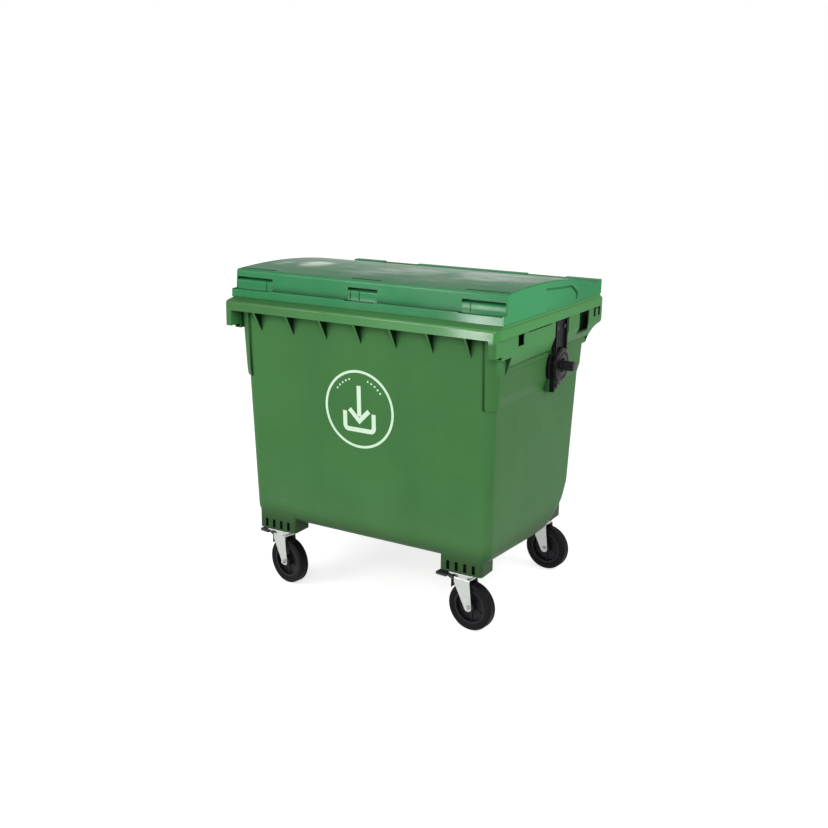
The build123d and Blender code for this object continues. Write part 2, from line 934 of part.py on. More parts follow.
def build_bracket():
    """The right bracket: an arm up to the rim, a round boss for the pin and a slanted heel block."""
    arm_half = arm_width / 2
    heel_half = heel_block_width / 2
    with BuildPart() as bracket:
        box_between((pad_face, pin_y - arm_half, pin_level), (pad_face + arm_thickness, pin_y + arm_half, arm_top))
        for side in (-1, 1):
            rib_y = pin_y + side * arm_rib_spacing
            box_between(
                (pad_face, rib_y - arm_rib_width / 2, pin_level),
                (pad_face + arm_thickness + arm_rib, rib_y + arm_rib_width / 2, arm_top),
            )
        with BuildSketch(Plane.YZ.offset(pad_face)):
            with BuildLine():
                Polyline(
                    (pin_y - heel_half, pin_level),
                    (pin_y - heel_half, heel_block_foot),
                    (pin_y + heel_half, heel_block_foot + heel_block_rise),
                    (pin_y + heel_half, pin_level),
                    close=True,
                )
            make_face()
        extrude(amount=heel_block_face - pad_face)
        with BuildSketch(Plane.YZ.offset(socket_floor)):
            with Locations((pin_y, pin_level)):
                Circle(boss_radius)
        extrude(amount=boss_face - socket_floor)
        rim = bracket.faces().sort_by(Axis.X)[-1].edges()
        chamfer(rim, pin_chamfer)
        with Locations(Plane(origin=(boss_face, pin_y, pin_level), z_dir=(-1, 0, 0))):
            Cylinder(
                pin_shank_radius + turn_gap,
                boss_face - socket_floor,
                align=(Align.CENTER, Align.CENTER, Align.MIN),
                mode=Mode.SUBTRACT,
            )
        for bolt_y, bolt_z in bracket_bolt_places():
            with Locations(Plane(origin=(pad_face, bolt_y, bolt_z), z_dir=(1, 0, 0))):
                Cylinder(bolt_radius + turn_gap, 2 * cut_over, mode=Mode.SUBTRACT)
    return bracket.part


def build_lifting_pin():
    """The right lifting pin: a shank held in the boss and a thicker free end outside it."""
    stretches = [
        (socket_floor, boss_face, pin_shank_radius),
        (boss_face, pin_span / 2, pin_radius),
    ]
    with BuildPart() as pin:
        for start, end, radius in stretches:
            with BuildSketch(Plane.YZ.offset(start)):
                with Locations((pin_y, pin_level)):
                    Circle(radius)
            extrude(amount=end - start)
        chamfer(pin.edges().sort_by(Axis.X)[-1], pin_chamfer)
    return pin.part


def hex_bolt(head, reach):
    """A hexagon bolt along +Z from its head's seat at z 0, with the shank going down by reach."""
    with BuildPart() as bolt:
        with BuildSketch():
            RegularPolygon(bolt_head_radius, 6)
        extrude(amount=head)
        with BuildSketch():
            Circle(bolt_radius)
        extrude(amount=-reach)
    return bolt.part


def build_bracket_bolts():
    """The three bolts of the right bracket, as one group of separate solids."""
    seats = [pad_face + arm_thickness] * 2 + [heel_block_face]
    with BuildPart() as bolts:
        for (bolt_y, bolt_z), seat in zip(bracket_bolt_places(), seats):
            plane = Plane(origin=(seat, bolt_y, bolt_z), z_dir=(1, 0, 0))
            add(plane.from_local_coords(hex_bolt(bolt_head_height, seat - pad_face + bolt_reach)))
    return bolts.part


# Drain
def build_drain_seal():
    """The flat ring between the drain boss and the plug's flange."""
    top = floor_level - drain_boss_drop
    with BuildPart() as seal:
        with BuildSketch(Plane.XY.offset(top)):
            with Locations((0, drain_y)):
                Circle(drain_flange_radius)
                Circle(drain_hole_radius, mode=Mode.SUBTRACT)
        extrude(amount=-seal_thickness)
    return seal.part


def build_drain_plug():
    """The plug: a hollow stem in the drain hole, a flange and a cross grip below."""
    top = floor_level - drain_boss_drop - seal_thickness
    with BuildPart() as plug:
        with BuildSketch(Plane.XY.offset(top)):
            with Locations((0, drain_y)):
                Circle(drain_flange_radius)
        extrude(amount=-drain_flange)
        with BuildSketch(Plane.XY.offset(top)):
            with Locations((0, drain_y)):
                Circle(drain_hole_radius - rest_gap)
        extrude(amount=seal_thickness + drain_boss_drop + wall)
        for angle in (0, 90):
            with BuildSketch(Plane.XY.offset(top - drain_flange)):
                with Locations(Location((0, drain_y), angle)):
                    RectangleRounded(2 * drain_hole_radius, drain_grip_width, drain_grip_width / 4)
            extrude(amount=-drain_grip_height)
    return plug.part


# Castors, each in its own frame: the swivel axis is the z axis and the wheel trails towards +x
def build_plate():
    """The top plate with its four bolt holes and the kingpin's hole."""
    with BuildPart() as plate:
        with BuildSketch(Plane.XY.offset(plate_top)):
            RectangleRounded(plate_length, plate_width, plate_radius)
            with Locations(*plate_bolt_places(0, 0)):
                Circle(bolt_radius + turn_gap, mode=Mode.SUBTRACT)
            Circle(kingpin_radius + turn_gap, mode=Mode.SUBTRACT)
        extrude(amount=-plate_thickness)
    return plate.part


def build_plate_bolts():
    """The four bolts that hold a castor plate up against its housing."""
    seat = plate_top - plate_thickness
    with BuildPart() as bolts:
        for x, y in plate_bolt_places(0, 0):
            plane = Plane(origin=(x, y, seat), z_dir=(0, 0, -1))
            add(plane.from_local_coords(hex_bolt(bolt_head_height, plate_thickness + plate_bolt_depth)))
    return bolts.part


def build_upper_race():
    """The upper bearing race, a turned ring under the plate."""
    top = plate_top - plate_thickness
    with BuildPart() as race:
        with BuildSketch(Plane.XY.offset(top)):
            Circle(race_radius)
            Circle(kingpin_radius + turn_gap, mode=Mode.SUBTRACT)
        extrude(amount=-race_height)
        outer = race.edges().filter_by(GeomType.CIRCLE).group_by(Axis.Z)[0].sort_by(SortBy.RADIUS)[-1]
        fillet(outer, race_height / 4)
    return race.part


def build_kingpin():
    """The pin that the fork turns on, with its head under the fork crown."""
    crown_foot = crown_top - crown_thickness - rest_gap
    with BuildPart() as pin:
        with BuildSketch(Plane.XY.offset(plate_top)):
            Circle(kingpin_radius)
        extrude(amount=crown_foot - plate_top)
        with BuildSketch(Plane.XY.offset(crown_foot)):
            RegularPolygon(kingpin_head_radius, 6)
        extrude(amount=-kingpin_head_height)
    return pin.part


def build_fork(braked):
    """The pressed fork: a crown bent down into two tapering legs, with the lower race on top."""
    half = fork_inner / 2 + fork_wall
    with BuildPart() as fork:
        with BuildSketch(Plane.XZ.offset(-half)):
            with Locations((trail, wheel_radius)):
                Circle(fork_foot_radius)
            with BuildLine():
                Polyline((-fork_front, pivot_level - pivot_boss), (-fork_front, crown_top), (fork_rear, crown_top))
            make_hull()
        extrude(amount=2 * half)
        fillet(fork.faces().sort_by(Axis.Z)[-1].edges().filter_by(Axis.X), fork_bend)
        box_between(
            (-fork_front - cut_over, -fork_inner / 2, 0),
            (trail + cut_over, fork_inner / 2, crown_top - crown_thickness),
            mode=Mode.SUBTRACT,
        )
        with BuildSketch(Plane.XY.offset(crown_top - crown_thickness / 2)):
            Circle(race_lower_radius)
        extrude(amount=crown_thickness / 2 + lower_race_height)
        with Locations((0, 0, crown_top)):
            Cylinder(kingpin_radius + turn_gap, 2 * cut_over, mode=Mode.SUBTRACT)
        with Locations(Plane(origin=(trail, 0, wheel_radius), z_dir=(0, 1, 0))):
            Cylinder(axle_radius + turn_gap, 4 * half, mode=Mode.SUBTRACT)
        if braked:
            with Locations(Plane(origin=(-pivot_x, 0, pivot_level), z_dir=(0, 1, 0))):
                Cylinder(pivot_radius + turn_gap, 4 * half, mode=Mode.SUBTRACT)
    return fork.part


def build_axle_bolt():
    """The axle bolt through both fork legs, its head on the +y side."""
    half = fork_inner / 2 + fork_wall
    with BuildPart() as bolt:
        with BuildSketch(Plane(origin=(trail, half, wheel_radius), z_dir=(0, 1, 0))):
            RegularPolygon(axle_head_radius, 6)
        extrude(amount=axle_head_height)
        with BuildSketch(Plane(origin=(trail, half, wheel_radius), z_dir=(0, -1, 0))):
            Circle(axle_radius)
        extrude(amount=2 * half + axle_nut_height + axle_end)
    return bolt.part


def build_axle_nut():
    """The nut on the -y end of the axle bolt."""
    half = fork_inner / 2 + fork_wall
    with BuildPart() as nut:
        with BuildSketch(Plane(origin=(trail, -half, wheel_radius), z_dir=(0, -1, 0))):
            RegularPolygon(axle_head_radius, 6)
            Circle(axle_radius + turn_gap, mode=Mode.SUBTRACT)
        extrude(amount=axle_nut_height)
    return nut.part


def build_axle_sleeve():
    """The steel sleeve clamped between the fork legs, on which the hub turns."""
    with BuildPart() as sleeve:
        with BuildSketch(Plane(origin=(trail, -fork_inner / 2, wheel_radius), z_dir=(0, 1, 0))):
            Circle(sleeve_radius)
            Circle(axle_radius + turn_gap, mode=Mode.SUBTRACT)
        extrude(amount=fork_inner)
    return sleeve.part


def build_wheel_rim():
    """The moulded wheel centre: hub, spoked web and the ring that the tyre sits on."""
    outer = wheel_radius - tyre_depth
    inner = outer - rim_ring
    middle = Plane(origin=(trail, 0, wheel_radius), z_dir=(0, 1, 0))
    with BuildPart() as rim:
        for radius, cut, width in (
            (outer, inner, rim_ring_width),
            (inner + rim_ring / 2, hub_radius / 2, web_thickness),
        ):
            with BuildSketch(middle):
                Circle(radius)
                Circle(cut, mode=Mode.SUBTRACT)
            extrude(amount=width / 2, both=True)
        with BuildSketch(middle) as gaps:
            Circle(inner)
            Circle(hub_radius, mode=Mode.SUBTRACT)
            spoke_width = (1 - spoke_gap_share) * 2 * math.pi * hub_radius / spoke_count
            with PolarLocations(0, spoke_count):
                Rectangle(2 * outer, spoke_width, mode=Mode.SUBTRACT)
            fillet(gaps.vertices(), spoke_edge / 2)
        extrude(amount=web_thickness, both=True, mode=Mode.SUBTRACT)
        with BuildSketch(middle):
            Circle(hub_radius)
        extrude(amount=hub_width / 2, both=True)
        with BuildSketch(middle):
            Circle(sleeve_radius + turn_gap)
        extrude(amount=hub_width, both=True, mode=Mode.SUBTRACT)
    return rim.part


def build_tyre():
    """The solid rubber tyre, with rounded shoulders."""
    inner = wheel_radius - tyre_depth
    with BuildPart() as tyre:
        with BuildSketch(Plane.XY) as section:
            with Locations((trail + (wheel_radius + inner) / 2, 0)):
                Rectangle(tyre_depth, tyre_width)
            outside = section.vertices().group_by(Axis.X)[-1]
            fillet(outside, tyre_shoulder)
        axis = Axis((trail, 0, 0), (0, 1, 0))
        revolve(axis=axis, revolution_arc=360)
    return Plane.XY.offset(wheel_radius).from_local_coords(tyre.part)


def build_pedal():
    """The brake pedal: a lever on its cross pin between the legs, with a treaded pad outside."""
    neck_end = fork_front + fork_wall
    with BuildPart() as pedal:
        with BuildSketch(Plane.XZ.offset(-lever_width / 2)):
            with Locations((-pivot_x, pivot_level)):
                Circle(pivot_boss)
            with BuildLine():
                Line((-neck_end, pivot_level), (-neck_end, pivot_level + lever_thickness / 2))
            make_hull()
            with BuildLine():
                Polyline(
                    (-pivot_x, pivot_level - lever_thickness / 2),
                    (-pivot_x, pivot_level + lever_thickness / 2),
                    (-pedal_start, pedal_level),
                    (-pedal_tip, pedal_level),
                    (-pedal_tip, pedal_level - lever_thickness),
                    (-pedal_start, pedal_level - lever_thickness),
                    (-shoe_end, pivot_level - lever_thickness / 2),
                    close=True,
                )
            make_face()
        extrude(amount=lever_width)
        with BuildSketch(Plane.XY.offset(pedal_level)):
            with Locations((-(pedal_start + pedal_tip) / 2, 0)):
                RectangleRounded(pedal_tip - pedal_start, pedal_width, pedal_corner)
        extrude(amount=-lever_thickness)
        for index in range(tread_count):
            tread_x = -(pedal_start + pedal_tip) / 2 + (index - (tread_count - 1) / 2) * tread_pitch
            with BuildSketch(Plane.XY.offset(pedal_level)):
                with Locations((tread_x, 0)):
                    Rectangle(tread_width, pedal_width - 2 * pedal_corner)
            extrude(amount=tread_height)
        with Locations(Plane(origin=(-pivot_x, 0, pivot_level), z_dir=(0, 1, 0))):
            Cylinder(pivot_radius + turn_gap, 2 * lever_width, mode=Mode.SUBTRACT)
    return pedal.part


def build_brake_pin():
    """The cross pin that the pedal turns on, held in both fork legs."""
    half = fork_inner / 2 + fork_wall
    with BuildPart() as pin:
        with BuildSketch(Plane(origin=(-pivot_x, -half, pivot_level), z_dir=(0, 1, 0))):
            Circle(pivot_radius)
        extrude(amount=2 * half)
    return pin.part


def pressed_axle():
    """Where the wheel's axle lies as seen from the pedal, once the pedal is pressed to its stop."""
    pivot = Vector(-pivot_x, 0, pivot_level)
    return pivot + (Vector(trail, 0, wheel_radius) - pivot).rotate(Axis.Y, press_angle)


def build_shoe():
    """The rubber shoe under the lever, its foot curved to the tyre that it presses on."""
    with BuildPart() as shoe:
        shoe_top = pivot_level - lever_thickness / 2
        box_between((-shoe_end, -shoe_width / 2, wheel_radius), (-shoe_start, shoe_width / 2, shoe_top))
        with Locations(Plane(origin=pressed_axle(), z_dir=(0, 1, 0))):
            Cylinder(wheel_radius + shoe_gap, 2 * shoe_width, mode=Mode.SUBTRACT)
    return shoe.part


# The whole container, node by node
keep(build_body(), "container_body")
keep(build_lid(), "lid")
keep(build_hinge_pin(-hinge_x), "hinge_pin_left")
keep(build_hinge_pin(hinge_x), "hinge_pin_right")
keep(build_drain_seal(), "drain_seal")
keep(build_drain_plug(), "drain_plug")

for piece_name, piece in (
    ("lifting_bracket", build_bracket()),
    ("lifting_pin", build_lifting_pin()),
    ("bracket_bolts", build_bracket_bolts()),
):
    keep(piece, f"{piece_name}_right")
    keep(mirror(piece, about=Plane.YZ), f"{piece_name}_left")

castor_pieces = {
    "castor_plate": build_plate(),
    "plate_bolts": build_plate_bolts(),
    "upper_race": build_upper_race(),
    "kingpin": build_kingpin(),
}
turning_pieces = {
    "axle_bolt": build_axle_bolt(),
    "axle_nut": build_axle_nut(),
    "axle_sleeve": build_axle_sleeve(),
    "wheel_rim": build_wheel_rim(),
    "tyre": build_tyre(),
}
brake_pieces = {
    "brake_pedal": build_pedal(),
    "brake_pin": build_brake_pin(),
    "brake_shoe": build_shoe(),
}
for place, heading in castor_headings.items():
    side_x = castor_x if "right" in place else -castor_x
    side_y = -castor_y if "front" in place else castor_y
    fixed = Plane(origin=(side_x, side_y, 0))
    turned = fixed.rotated((0, 0, heading))
    for piece_name, piece in castor_pieces.items():
        keep(piece, f"{place}_{piece_name}", fixed)
    braked = "front" in place
    keep(build_fork(braked), f"{place}_fork", turned)
    for piece_name, piece in turning_pieces.items():
        keep(piece, f"{place}_{piece_name}", turned)
    if braked:
        for piece_name, piece in brake_pieces.items():
            keep(piece, f"{place}_{piece_name}", turned)
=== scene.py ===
# %% [markdown]
# # A four-wheeled waste container, dressed for its picture
# The construction comes packed as a fixed frame: every rigid piece is already there at its real size, in
# metres, with the floor at zero and the front looking along -Y. This lesson gives each piece the finish
# that it has on the real container and adds the fine pieces that are moulded, printed or pressed on it.
# The shapes added here are surfaces worked out with numpy, and the finishes are written as small sums of
# shader nodes.

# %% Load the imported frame
import json
import math

import bmesh
import bpy
import numpy as np
from mathutils import Matrix, Vector


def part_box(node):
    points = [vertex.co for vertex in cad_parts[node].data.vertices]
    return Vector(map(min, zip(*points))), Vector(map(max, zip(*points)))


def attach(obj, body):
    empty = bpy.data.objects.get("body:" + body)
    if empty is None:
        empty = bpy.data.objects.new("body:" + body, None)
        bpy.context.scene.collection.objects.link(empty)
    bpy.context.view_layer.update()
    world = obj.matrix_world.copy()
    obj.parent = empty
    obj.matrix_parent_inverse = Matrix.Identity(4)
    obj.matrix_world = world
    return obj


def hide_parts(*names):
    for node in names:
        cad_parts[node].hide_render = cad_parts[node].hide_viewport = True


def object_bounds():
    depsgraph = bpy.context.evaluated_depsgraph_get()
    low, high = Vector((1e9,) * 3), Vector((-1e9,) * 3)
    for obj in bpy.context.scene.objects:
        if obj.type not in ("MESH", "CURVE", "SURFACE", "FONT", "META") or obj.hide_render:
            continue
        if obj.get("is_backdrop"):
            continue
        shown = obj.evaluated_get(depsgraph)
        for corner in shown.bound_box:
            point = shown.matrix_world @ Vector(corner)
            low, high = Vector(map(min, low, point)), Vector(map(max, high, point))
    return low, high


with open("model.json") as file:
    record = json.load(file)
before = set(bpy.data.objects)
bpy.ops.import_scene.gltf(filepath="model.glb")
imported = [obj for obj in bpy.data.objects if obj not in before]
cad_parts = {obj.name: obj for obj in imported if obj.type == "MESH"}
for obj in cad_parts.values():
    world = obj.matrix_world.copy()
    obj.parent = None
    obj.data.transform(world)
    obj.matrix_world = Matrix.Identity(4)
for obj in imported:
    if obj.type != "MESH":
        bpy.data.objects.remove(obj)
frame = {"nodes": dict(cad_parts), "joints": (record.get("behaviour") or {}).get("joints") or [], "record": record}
cad_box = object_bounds()
nodes = frame["nodes"]
joints = {joint["name"]: joint for joint in frame["joints"]}
print("frame:", len(nodes), "nodes, box", [round(value, 3) for value in (*cad_box[0], *cad_box[1])])

# %% [markdown]
# ## Writing shader sums
# A finish is a tree of nodes. Adding and linking each node by hand hides the idea, so one small class
# wraps a socket and lets Python's operators add the Math nodes. One method makes every other kind of
# node: its settings go in first, because they decide which sockets it has, and then come the values or
# links of its sockets.

# %% A socket that can be added and multiplied


class Wire:
    """A number that varies over a surface: arithmetic on it adds Math nodes to its finish."""

    def __init__(self, finish, socket):
        self.finish = finish
        self.socket = socket

    def sum(self, operation, first, second):
        return self.finish.node("Math", {"operation": operation}, {0: first, 1: second})

    def __add__(self, other):
        return self.sum("ADD", self, other)

    def __sub__(self, other):
        return self.sum("SUBTRACT", self, other)

    def __mul__(self, other):
        return self.sum("MULTIPLY", self, other)

    def __rsub__(self, other):
        return self.sum("SUBTRACT", other, self)

    __radd__ = __add__
    __rmul__ = __mul__

    def clip(self):
        """The same number held between nought and one."""
        return self.finish.node("Clamp", {}, {"Value": self})

    def step(self, low, high):
        """Nought below low, one above high, and a smooth rise between them."""
        ranges = {"From Min": low, "From Max": high}
        return self.finish.node("MapRange", {"interpolation_type": "SMOOTHSTEP"}, {"Value": self, **ranges})


# %% A tree that one method fills


class Tree:
    """A node tree that is filled by one method, whatever the type of node."""

    def __init__(self, tree):
        self.tree = tree

    def node(self, kind, settings, values, out=0):
        """Add a node: its settings, then a value or a wire for each socket. One output comes back."""
        made = self.tree.nodes.new("ShaderNode" + kind)
        for name, value in settings.items():
            setattr(made, name, value)
        for key, value in values.items():
            if isinstance(value, Wire):
                self.tree.links.new(value.socket, made.inputs[key])
            else:
                made.inputs[key].default_value = value
        return Wire(self, made.outputs[out])

    def seen_rays(self):
        """One for rays that show a surface or its mirror image, nought for those that only carry light."""
        seen = self.node("LightPath", {}, {}, out="Is Camera Ray")
        mirrored = self.node("LightPath", {}, {}, out="Is Glossy Ray")
        through = self.node("LightPath", {}, {}, out="Is Transmission Ray")
        return (seen + mirrored + through).clip()


# %% A material with its patterns and masks


class Finish(Tree):
    """One material, with a Principled shader whose constants are set on its own sockets."""

    def __init__(self, name, **constants):
        self.material = bpy.data.materials.new(name)
        self.material.use_nodes = True
        super().__init__(self.material.node_tree)
        self.shader = self.tree.nodes["Principled BSDF"]
        for socket, value in constants.items():
            self.shader.inputs[socket.replace("_", " ").title().replace("Ior", "IOR")].default_value = value
        self.place = self.node("TexCoord", {}, {}, out="Object")

    def noise(self, scale, detail=2.0, roughness=0.5, stretch=(1.0, 1.0, 1.0)):
        """Soft random values round a half. A stretch above one packs the pattern closer on its axis."""
        moved = self.node("Mapping", {}, {"Vector": self.place, "Scale": stretch})
        amounts = {"Vector": moved, "Scale": scale, "Detail": detail, "Roughness": roughness}
        return self.node("TexNoise", {}, amounts)

    def along(self, axis):
        """How far each point lies along an axis, in metres. Along Z it is the height above the floor."""
        return self.node("SeparateXYZ", {}, {0: self.place}, out=axis)

    def mix(self, share, low, high):
        """A colour from low to high as share goes from nought to one."""
        return self.node("Mix", {"data_type": "RGBA"}, {0: share, 6: low, 7: high}, out=2)

    def soft_edges(self, radius):
        """The surface normal with every sharp edge rounded over by radius, as a mould leaves it."""
        return self.node("Bevel", {"samples": 6}, {"Radius": radius})

    def inside(self, low, high, soft=0.004):
        """One inside the box between two corners and in its mirror image across X, with softened sides."""
        share = 1.0
        for axis, start, end in zip("XYZ", low, high):
            along = self.along(axis)
            if axis == "X":
                along = self.node("Math", {"operation": "ABSOLUTE"}, {0: along})
            before_end = 1.0 - along.step(end - soft, end + soft)
            share = share * along.step(start - soft, start + soft) * before_end
        return share

    def spot(self, middle, reach):
        """One in a frayed oval and nought outside it; reach is half its length along each axis."""
        offset = self.node("VectorMath", {"operation": "SUBTRACT"}, {0: self.place, 1: middle})
        scaled = self.node("VectorMath", {"operation": "DIVIDE"}, {0: offset, 1: reach})
        away = self.node("VectorMath", {"operation": "LENGTH"}, {0: scaled}, out="Value")
        fray = (self.noise(7.0, detail=4.0, roughness=0.6) - 0.5) * 1.5
        return 1.0 - (away + fray).step(0.2, 1.0)

    def facing(self, direction, low, high):
        """One on faces that look along a direction of the piece, nought on those that look elsewhere."""
        normal = self.node("NewGeometry", {}, {}, out="Normal")
        turned_back = {"vector_type": "NORMAL", "convert_from": "WORLD", "convert_to": "OBJECT"}
        own_normal = self.node("VectorTransform", turned_back, {0: normal})
        towards = {0: own_normal, 1: tuple(Vector(direction).normalized())}
        return self.node("VectorMath", {"operation": "DOT_PRODUCT"}, towards, out="Value").step(low, high)

    def edge_mask(self, rounded, gain):
        """One on edges, where the rounded normal turns away from the flat one, and nought between them."""
        flat = self.node("NewGeometry", {}, {}, out="Normal")
        same = self.node("VectorMath", {"operation": "DOT_PRODUCT"}, {0: rounded, 1: flat}, out="Value")
        return ((1.0 - same) * gain).clip()

    def hollows(self, reach):
        """One in the open, falling towards nought in slots and inner corners narrower than reach."""
        settings = {"samples": 6, "only_local": True}
        return self.node("AmbientOcclusion", settings, {"Distance": reach}, out="AO")

    def bump(self, height, distance, strength, normal):
        """A normal pushed by a height pattern, on top of the normal that comes in."""
        amounts = {"Height": height, "Distance": distance, "Strength": strength, "Normal": normal}
        return self.node("Bump", {}, amounts)

    def feed(self, **sockets):
        """Link what changes over the surface to the shader."""
        for socket, value in sockets.items():
            self.tree.links.new(value.socket, self.shader.inputs[socket.replace("_", " ").title()])
        return self.material


# %% Colours as they show on the screen


def rgb(red, green, blue):
    """A colour as it shows on the screen, from 0 to 255, turned into the linear values of a shader."""
    shares = (channel / 255 for channel in (red, green, blue))
    linear = [share / 12.92 if share <= 0.04045 else ((share + 0.055) / 1.055) ** 2.4 for share in shares]
    return (*linear, 1.0)


print("a middle grey is", round(rgb(128, 128, 128)[0], 3), "to a shader")

# %% [markdown]
# ## Moulded green plastic
# The tub and the lid are polyethylene, coloured through. The surface isn't one flat colour: the mould leaves a
# soft orange peel, the wall thickness varies and changes the tone over a hand's width, edges wear paler and dust
# settles low on the walls. On top of these, slots, inner corners and the foot of the walls are darkened as painted
# shade, and the upper right side and the right of the rim are lightened as painted light. A single base colour
# would look like paper, so the tone is a sum of a few of these causes. The lid is bluer and glossier than the tub.
# Each tone below is written as it shows on the screen.

# %% The tones of the two greens
tub_mid = rgb(71, 122, 69)
tub_deep = rgb(60, 106, 59)
tub_worn = rgb(116, 166, 116)
# Painted shade: a nearly black green for slots, corners, ribs and windows.
tub_painted_shade = rgb(8, 30, 12)
# Painted light: a lighter green for the tub's upper right side.
tub_painted_light = rgb(78, 152, 84)
tub_tones = (tub_mid, tub_deep, tub_worn, tub_painted_shade, tub_painted_light)

lid_mid = rgb(60, 142, 90)
lid_deep = rgb(50, 124, 78)
lid_worn = rgb(134, 184, 150)
# Painted shade: a nearly black green for the lid's slots and corners.
lid_painted_shade = rgb(6, 34, 18)
# Painted light: a lighter green for the lid's right side.
lid_painted_light = rgb(82, 170, 112)
lid_tones = (lid_mid, lid_deep, lid_worn, lid_painted_shade, lid_painted_light)

# Painted highlight: a lighter green on the rim that grows towards the right.
rim_painted_light = rgb(80, 152, 84)
wall_dust = rgb(108, 124, 100)
# Painted shade for the foot of the walls and the castor housings.
low_painted_shade = rgb(48, 66, 44)
# A greyer, darker tone for the flat top.
greyer_top = rgb(62, 100, 72)
print("tones:", len(tub_tones), "for the tub,", len(lid_tones), "for the lid")

# %% [markdown]
# ## Where the greens change
# The lid's gloss comes and goes in patches as wide as a hand, so part of it is a clear coat whose weight varies,
# which gives the top the broken sheen of a sheet that has been handled. Hands and lorry arms also polish the front
# from the rim upwards. The flat top is greyer and darker. The upper right side is lightened as painted light, most
# towards its front. Behind the ribs under the rim, in the side windows and along the edge of the corner plates the
# colour is darkened as painted shade, and painted shade also darkens the foot of the walls and the castor
# housings. The rim is lightened as a painted highlight that grows towards the right. All these places are given in
# metres on the container itself, as spans along an axis, boxes and ovals, so that they stay where they are from
# every side.

# %% The places where the greens change
rim_rise = (1.19, 1.21)
dust_rise = (0.24, 0.72)
low_shade_rise = (0.27, 0.39)
lit_side_rise = (1.04, 1.14)
top_rise = (1.33, 1.35)
left_to_right = (-0.6, 0.3)
front_to_rear = (-0.15, 0.35)
rightwards = (1.0, 0.0, 0.0)
upwards = (0.0, 0.0, 1.0)
front_and_up = (0.0, -1.0, 0.6)
# Boxes for painted shade: behind the ribs, along the corner plates' front edge and inside the side windows.
rib_shade_zone = ((-0.1, -0.54, 1.05), (0.545, -0.458, 1.206))
seam_shade_zone = ((0.5365, -0.5, 0.925), (0.5475, -0.42, 1.204))
rear_window_shade_zone = ((0.585, 0.26, 1.112), (0.617, 0.38, 1.212))
front_window_shade_zone = ((0.585, -0.44, 1.152), (0.617, -0.275, 1.212))
rubbed_corner = ((0.5, -0.5, 1.25), (0.2, 0.1, 0.08))
sheen_spots = [
    ((-0.4, -0.15, 1.374), (0.08, 0.15, 0.05), 1.0),
    ((-0.54, -0.24, 1.37), (0.05, 0.07, 0.05), 0.5),
    ((-0.02, -0.16, 1.374), (0.34, 0.24, 0.05), 0.34),
    ((0.4, -0.1, 1.372), (0.24, 0.24, 0.05), 0.45),
]
print("patches of sheen on the lid:", len(sheen_spots))

# %% [markdown]
# ## One cause at a time
# Each cause gets a small function, so that one can be taken out or made stronger without touching the
# others. The weights in them are shares between nought and one, found by looking at the result beside the
# real surface.

# %% The tone and its rubbed edges


def base_tone(finish, mid, deep, patches, mottle):
    """The colour of the mass: hand-wide patches, marks of the flow up the wall and a fine mottle."""
    flow = finish.noise(7.0, detail=2.0, stretch=(1.0, 1.0, 0.22))
    return finish.mix((patches * 0.8 + flow * 0.6 + mottle * 0.1 - 0.36).clip(), deep, mid)


def rubbed_pale(finish, colour, rounded, scuffs, pale):
    """Paler where edges are scuffed, and where fine scratches cross the scuffs."""
    scratches = finish.noise(260.0, detail=2.0, stretch=(0.12, 0.12, 1.6)).step(0.68, 0.78)
    edges = finish.edge_mask(rounded, 5.0)
    wear = (edges * (scuffs * 0.5 + 0.2) + scratches * scuffs * 0.2).clip()
    return finish.mix(wear, colour, pale)


# %% Dust, painted shade at the foot and painted light on the right side


def dust_with_painted_light_and_shade(finish, colour, mottle, scuffs, lit_tone):
    """Dust low on the walls, painted shade at their foot, and painted light on the upper right side, most towards
    its front.
    """
    height = finish.along("Z")
    dust = ((1.0 - height.step(*dust_rise)) * (scuffs * 0.26 + mottle * 0.2)).clip()
    colour = finish.mix(dust, colour, wall_dust)
    # Painted shade: the walls darken towards their foot and over the castor housings.
    colour = finish.mix((1.0 - height.step(*low_shade_rise)) * 0.8, colour, low_painted_shade)
    towards_front = 1.0 - finish.along("Y").step(*front_to_rear) * 0.6
    # Painted light: the upper right side is lightened, most towards its front.
    lit_side = height.step(*lit_side_rise) * finish.facing(rightwards, 0.7, 0.95) * towards_front
    return finish.mix(lit_side * 0.6, colour, lit_tone)


# %% Painted shade in hollows


def painted_shade_in_hollows(finish, colour, shade_tone):
    """Painted shade: nearly black in slots and inner corners, behind ribs, in windows and along the corner plates.
    """
    # Painted shade: ambient occlusion darkens the colour in slots and inner corners.
    corner_shade = 1.0 - finish.hollows(0.09).step(0.22, 0.86)
    # Painted shade on the sideways faces of the ribs under the rim.
    rib_shade = finish.inside(*rib_shade_zone) * finish.facing(rightwards, 0.5, 0.9)
    # Painted shade: a soft dark line along the front edge of each corner plate.
    seam_shade = finish.inside(*seam_shade_zone, soft=0.005)
    # Painted shade inside the apron's window pockets.
    window_shade = finish.inside(*rear_window_shade_zone, soft=0.002) + finish.inside(*front_window_shade_zone, soft=0.002)
    # Painted shade: the shares of all four darkenings, added up.
    dark = corner_shade * 0.95 + rib_shade * 0.75 + seam_shade * 0.62 + window_shade * 0.92
    return finish.mix(dark.clip(), colour, shade_tone)


# %% The patches of the clear coat


def coat_patches(finish, on_rim, to_the_right, on_top, spots):
    """The clear coat's weight: frayed patches on the top, and fronts rubbed from the rim up."""
    broken = finish.noise(9.0, detail=4.0, roughness=0.6, stretch=(0.5, 1.6, 1.0)).step(0.36, 0.6)
    glare = sum((finish.spot(middle, reach) * weight for middle, reach, weight in spots), broken * 0.05)
    handled = on_rim * finish.facing(front_and_up, 0.72, 0.86)
    rubbed = (broken * 0.35 + 0.35) * (to_the_right * 0.75 + 0.25) + finish.spot(*rubbed_corner) * 0.28
    return (glare * (broken * 0.7 + 0.3) * on_top + handled * rubbed).clip()


# %% The green finishes, cause after cause


